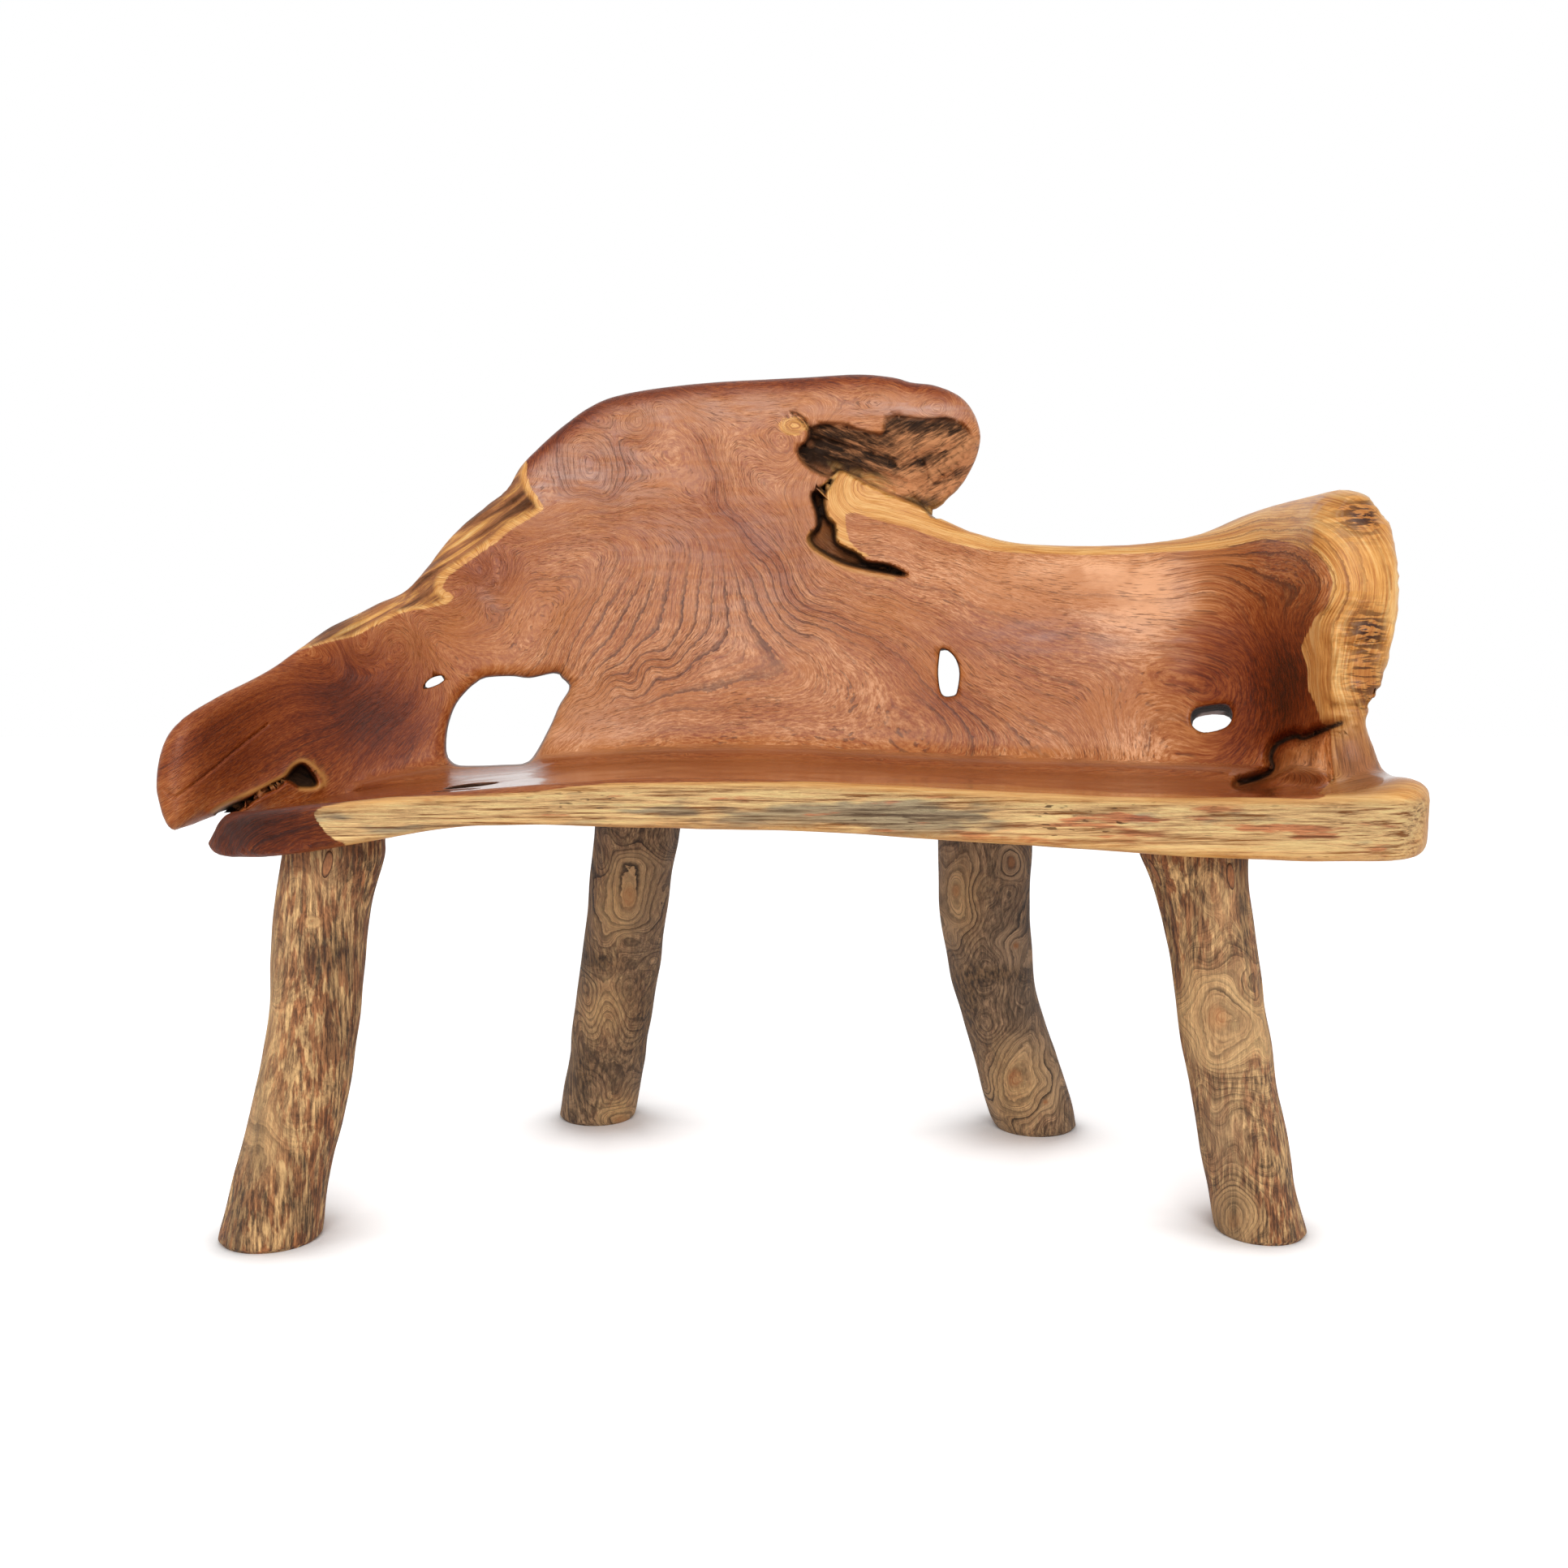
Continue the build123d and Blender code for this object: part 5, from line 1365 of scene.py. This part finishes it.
# ---------------------------------------------------------------- legs
class Leg:
    """A log leg as a surface: round its bearing, and down from its head to its sole."""

    def __init__(self, name, lumps):
        self.lumps, self.looks = lumps, LEG_LOOKS[name]
        (self.x, self.y), self.head, stations, self.plugs, self.drop = LEGS[name]
        top = self.head - LEG_STRAIGHT
        share, dx, dy, half_x, half_y = np.array(stations, float).T
        z = top + (LEG_SOLE - top) * share
        line = curve(np.stack([z, dx, dy, half_x, half_y], -1), steps=12)
        self.line = line[np.argsort(line[:, 0])]

    def along(self, z):
        """Centre and half widths at a height."""
        levels = np.clip(z, LEG_SOLE, self.head - LEG_STRAIGHT)
        return [np.interp(levels, self.line[:, 0], self.line[:, n]) for n in range(1, 5)]

    def point(self, bearing, z, lift=0.0):
        """The point at a bearing from the front and a height: the ellipse of that height, grown by lumps
        that die out at the head, at the sole and round the plugs, and by lift."""
        dx, dy, half_x, half_y = self.along(z)
        away = np.stack([np.sin(bearing), -np.cos(bearing)], -1)
        place = np.stack([away[..., 0] * LEG_RADIUS, away[..., 1] * LEG_RADIUS, z], -1) + self.x
        plain = np.ones_like(z)
        for turn in self.plugs:
            gap = np.abs((bearing - np.radians(turn) + np.pi) % (2 * np.pi) - np.pi) * LEG_RADIUS
            plain = plain * smooth_step(6, 16, np.hypot(gap, (z - self.head + self.drop) * 0.5))
        ends = smooth_step(self.head - 10, self.head - 26, z) * smooth_step(2, 14, z)
        lump = self.lumps * (lump_noise(place, 46, 31)
                             + 0.5 * lump_noise(place * np.array([1, 1, 0.4]), 15, 32)
                             + 0.3 * lump_noise(place * np.array([1, 1, 0.2]), 6, 33))
        grow = lump * plain * ends + lift
        return np.stack([self.x + dx + away[..., 0] * (half_x + grow),
                         self.y + dy + away[..., 1] * (half_y + grow), z], -1)

    def figure(self, p):
        """The values that the log wood's material reads at each point of the leg."""
        cx, cy = chart(p)
        growth = self.looks["lines"] * (lump_noise(p * np.array([1, 1, 0.62]), 58, 41)
                                         + 0.45 * lump_noise(p * np.array([1, 1, 0.6]), 26, 42))
        knot = np.zeros_like(cx)
        front = smooth_step(40, 0, p[:, 1] - self.y - np.interp(p[:, 2], self.line[:, 0], self.line[:, 2]))
        calm = np.clip(patches(cx, cy, self.looks["calm"]), 0, 1) * front
        for x, y, wide, tall, rings in self.looks["knots"]:
            spread = np.hypot((cx - x) / wide, (cy - y) / tall) * (1 + 0.42 * lump_noise(p, 30, 45))
            near = np.exp(-spread**2) * front
            growth = growth * (1 - 0.85 * near) + rings * near
            knot = np.maximum(knot, smooth_step(0.26, 0.10, spread) * front)
            calm = np.maximum(calm, smooth_step(1.1, 0.7, spread) * front)
        dark = np.clip(patches(cx, cy, self.looks["dark"]), 0, 1) * front
        scraped = smooth_step(0.35, 0.75, lump_noise(p * np.array([1, 1, 0.22]), 24, 44))
        dark = np.maximum(dark, (0.2 + 0.4 * self.looks["warmth"]) * scraped)
        warm = np.clip(self.looks["warmth"] + patches(cx, cy, self.looks["warm"]) * front
                       + 0.25 * lump_noise(p * np.array([1, 1, 0.3]), 40, 43), 0, 1)
        ringed = np.clip(self.looks["ringed"] + patches(cx, cy, self.looks["rings"]), 0, 1)
        return {"growth": growth, "warm": warm, "knot": knot, "dark": dark, "calm": calm, "ringed": ringed}


def cap_faces(first, count, last):
    """Quads that close a small ring of corners, joining opposite corners in strips."""
    i = np.arange(count // 2 - 1)
    quads = np.stack([first + i, first + i + 1, first + count - 2 - i, first + count - 1 - i], -1)
    return quads if last else quads[:, ::-1]


def closed_tube(rows):
    """Faces of a grid of rings whose first and last rings are small and get closed."""
    count, around = rows.shape[:2]
    last = (count - 1) * around
    return np.vstack([tube_faces(count, around), cap_faces(0, around, False), cap_faces(last, around, True)])


def leg_grid(leg):
    """Rings from the middle of the sole, round its eased edge and up the side to the middle of the head."""
    side = np.linspace(leg.head, LEG_SOLE, LEG_RINGS)
    bearing = np.linspace(0, 2 * np.pi, LEG_AROUND, endpoint=False)
    z, turn = np.meshgrid(side, bearing, indexing="ij")
    rows = leg.point(turn, z)
    head_middle = rows[0].mean(0)
    sole_middle = rows[-1].mean(0) * (1, 1, 0)
    head = [head_middle + (rows[0] - head_middle) * share for share in (0.02, 0.5, 0.9)]
    sole_edge = sole_middle + (rows[-1] * (1, 1, 0) - sole_middle) * LEG_SOLE_FLAT
    chamfer = [rows[-1] + (sole_edge - rows[-1]) * share for share in (0.5, 1.0)]
    sole = [sole_middle + (sole_edge - sole_middle) * share for share in (0.6, 0.02)]
    return np.concatenate([np.array(head), rows, np.array(chamfer), np.array(sole)])[::-1]


def plug_grid(leg, turn, half_width, half_height):
    """Rings of an oval lens that follows the leg's surface and stands a little proud of it, and how near
    its edge each corner is."""
    ring = np.linspace(0, 2 * np.pi, PLUG_AROUND, endpoint=False)
    radius, lift = np.array(PLUG_RINGS).T
    r, a = np.meshgrid(radius, ring, indexing="ij")
    z = leg.head - leg.drop + r * np.cos(a) * half_height
    across = np.radians(turn) + r * np.sin(a) * half_width / PLUG_RADIUS
    return leg.point(across, z, lift[:, None] + 0 * a), smooth_step(0.72, 0.98, r)


# ---------------------------------------------------------------- operators
def settle_in(piece, node, material):
    """The piece takes its node's place in the frame and its material."""
    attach(piece, "root")
    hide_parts(node)
    piece.data.materials.append(material)


class BENCH_OT_root_shell(bpy.types.Operator):
    """Make the root shell: seat and back in one piece"""
    bl_idname = "bench.root_shell"
    bl_label = "Root shell"

    def execute(self, context):
        sizes = context.scene.bench_shell
        field = Shell(sizes)
        cell = sizes.spacing / MM
        axes = [np.arange(low, high, cell) for low, high in SHELL_SPAN]
        vertices, faces = surface_net(field(np.stack(np.meshgrid(*axes, indexing="ij"), -1)), axes)
        if not len(faces):
            raise RuntimeError("the shell's field is empty")
        faces = np.vstack([faces[:, [0, 1, 2]], faces[:, [0, 2, 3]]])
        for level in (0.35, 0.7):
            vertices, faces = refine(vertices, faces, field.detail(vertices) > level)
        vertices = settle(lambda p: field(p, True), vertices)
        normals = gradient(lambda p: field(p, True), vertices, 0.8)
        normals /= np.linalg.norm(normals, axis=1)[:, None]
        piece = mesh_object("Root_shell", vertices, faces, shell_figure(field, vertices), normals)
        settle_in(piece, "root_shell", root_material(context.scene.bench_wood))
        return {"FINISHED"}


class BENCH_OT_legs(bpy.types.Operator):
    """Make the four log legs"""
    bl_idname = "bench.legs"
    bl_label = "Log legs"

    def execute(self, context):
        wood = log_material(context.scene.bench_wood)
        for name in LEGS:
            leg = Leg(name, context.scene.bench_legs.lumps / MM)
            rows = leg_grid(leg)
            p = rows.reshape(-1, 3)
            settle_in(mesh_object(name.title(), p, closed_tube(rows), leg.figure(p)), name, wood)
        return {"FINISHED"}


class BENCH_OT_plugs(bpy.types.Operator):
    """Make the oval faces of the plugs over the toe screws"""
    bl_idname = "bench.plugs"
    bl_label = "Plugs"

    def execute(self, context):
        sizes = context.scene.bench_legs
        wood = plug_material(context.scene.bench_wood)
        for name in LEGS:
            leg = Leg(name, sizes.lumps / MM)
            for number, turn in enumerate(leg.plugs, 1):
                rows, edge = plug_grid(leg, turn, sizes.plug_width / MM, sizes.plug_height / MM)
                node = f"plug_{name.removeprefix('leg_')}_{number}"
                piece = mesh_object(node.title(), rows.reshape(-1, 3), closed_tube(rows),
                                    {"edge": edge.ravel()})
                settle_in(piece, node, wood)
        return {"FINISHED"}


class BENCH_OT_screws(bpy.types.Operator):
    """Give the hidden toe screws their steel"""
    bl_idname = "bench.screws"
    bl_label = "Toe screws"

    def execute(self, context):
        steel = steel_material(context.scene.bench_wood)
        screws = [piece for piece in bpy.data.objects if piece.name.startswith("toe_screws")]
        if len(screws) != len(LEGS):
            raise RuntimeError("the frame lacks its toe screws")
        for piece in screws:
            for slot in piece.material_slots:
                slot.material = steel
        return {"FINISHED"}


def card(name, corners, material):
    """A flat stage piece with these four corners, in metres."""
    mesh = bpy.data.meshes.new(name)
    mesh.from_pydata(corners, [], [(0, 1, 2, 3)])
    piece = bpy.data.objects.new(name, mesh)
    bpy.context.collection.objects.link(piece)
    mesh.materials.append(material)


def stage_material(name, shade, roughness):
    """A matt material that can also shine white."""
    material, t = new_material(name)
    t.shader(Base_Color=shade, Roughness=roughness, Specular_IOR_Level=0.0, Emission_Color=(1, 1, 1, 1))
    return material, t


def seen_bright(t, level):
    """level for the light that falls on the bench, and 1 where the camera or a reflection looks."""
    path = t.node("ShaderNodeLightPath").outputs
    seen = t.math("MAXIMUM", path["Is Camera Ray"],
                  t.math("MAXIMUM", path["Is Glossy Ray"], path["Is Transmission Ray"]))
    return t.math("MULTIPLY_ADD", seen, 1 - level, level)


class BENCH_OT_stage(bpy.types.Operator):
    """Set the floor, the backdrop, the lamps and the camera"""
    bl_idname = "bench.stage"
    bl_label = "Stage"

    def execute(self, context):
        scene, levels = context.scene, context.scene.bench_stage
        material, t = stage_material("Floor", levels.floor, 0.9)
        near = t.node("ShaderNodeAmbientOcclusion", samples=8)
        near.inputs["Distance"].default_value = CONTACT
        lift = t.ramp(near.outputs["AO"], 0.62, 0.99, 0.0, FLOOR_LIFT)
        t.shader(Emission_Strength=t.times(t.node("ShaderNodeLightPath").outputs["Is Camera Ray"], lift))
        side, half, foot, head = FLOOR_SIDE, BACKDROP_SIDE, *BACKDROP_Z
        card("Floor", [(-side, -side, 0), (side, -side, 0), (side, side, 0), (-side, side, 0)], material)
        material, t = stage_material("Backdrop", (0, 0, 0, 1), 1.0)
        t.shader(Emission_Strength=seen_bright(t, levels.ambient))
        card("Backdrop", [(-half, BACKDROP_Y, foot), (half, BACKDROP_Y, foot), (half, BACKDROP_Y, head),
                          (-half, BACKDROP_Y, head)], material)

        lens = bpy.data.cameras.new("Camera")
        lens.sensor_width = SENSOR
        lens.lens = SENSOR * CHART_FOCAL / CHART_SIZE
        lens.shift_y = CHART_LEVEL / CHART_SIZE - 0.5
        camera = bpy.data.objects.new("Camera", lens)
        scene.collection.objects.link(camera)
        camera.location = (EYE + SHIFT) * MM
        camera.rotation_euler = (np.pi / 2, 0, 0)
        scene.camera = camera
        world = bpy.data.worlds.new("Studio")
        world.use_nodes = True
        background = world.node_tree.nodes["Background"]
        background.inputs["Color"].default_value = (1, 1, 1, 1)
        t = Tree(world.node_tree)
        t.feed(background.inputs["Strength"], seen_bright(t, levels.ambient))
        scene.world = world
        light = bpy.data.lights.new("Key", "AREA")
        light.energy, light.size = levels.key, KEY_SIZE
        lamp = bpy.data.objects.new("Key", light)
        lamp.location = KEY_PLACE
        aim = np.array(KEY_AIM) - np.array(KEY_PLACE)
        lamp.rotation_euler = (np.arctan2(np.hypot(*aim[:2]), -aim[2]), 0,
                               np.arctan2(aim[0], -aim[1]) + np.pi)
        scene.collection.objects.link(lamp)
        scene.view_settings.view_transform = "Standard"
        return {"FINISHED"}


class BENCH_PT_pieces(bpy.types.Panel):
    """The bench's pieces and settings"""
    bl_idname = "BENCH_PT_pieces"
    bl_label = "Rustic log bench"
    bl_space_type = "VIEW_3D"
    bl_region_type = "UI"
    bl_category = "Bench"

    def draw(self, context):
        for operator in OPERATORS:
            self.layout.operator(operator.bl_idname)
        for key, group in SETTINGS.items():
            box = self.layout.box()
            for name in group.__annotations__:
                box.prop(getattr(context.scene, key), name)


OPERATORS = (BENCH_OT_root_shell, BENCH_OT_legs, BENCH_OT_plugs, BENCH_OT_screws, BENCH_OT_stage)
SETTINGS = {"bench_shell": BenchShellSizes, "bench_legs": BenchLegSizes, "bench_wood": BenchWoodColours,
            "bench_stage": BenchStageLevels}


def register():
    for item in (*SETTINGS.values(), *OPERATORS, BENCH_PT_pieces):
        bpy.utils.register_class(item)
    for key, group in SETTINGS.items():
        setattr(bpy.types.Scene, key, bpy.props.PointerProperty(type=group))


def unregister():
    for key in SETTINGS:
        delattr(bpy.types.Scene, key)
    for item in (BENCH_PT_pieces, *reversed(OPERATORS), *reversed(SETTINGS.values())):
        bpy.utils.unregister_class(item)


def main():
    register()
    bpy.ops.bench.root_shell()
    bpy.ops.bench.legs()
    bpy.ops.bench.plugs()
    bpy.ops.bench.screws()
    bpy.ops.bench.stage()


if __name__ == "__main__":
    main()
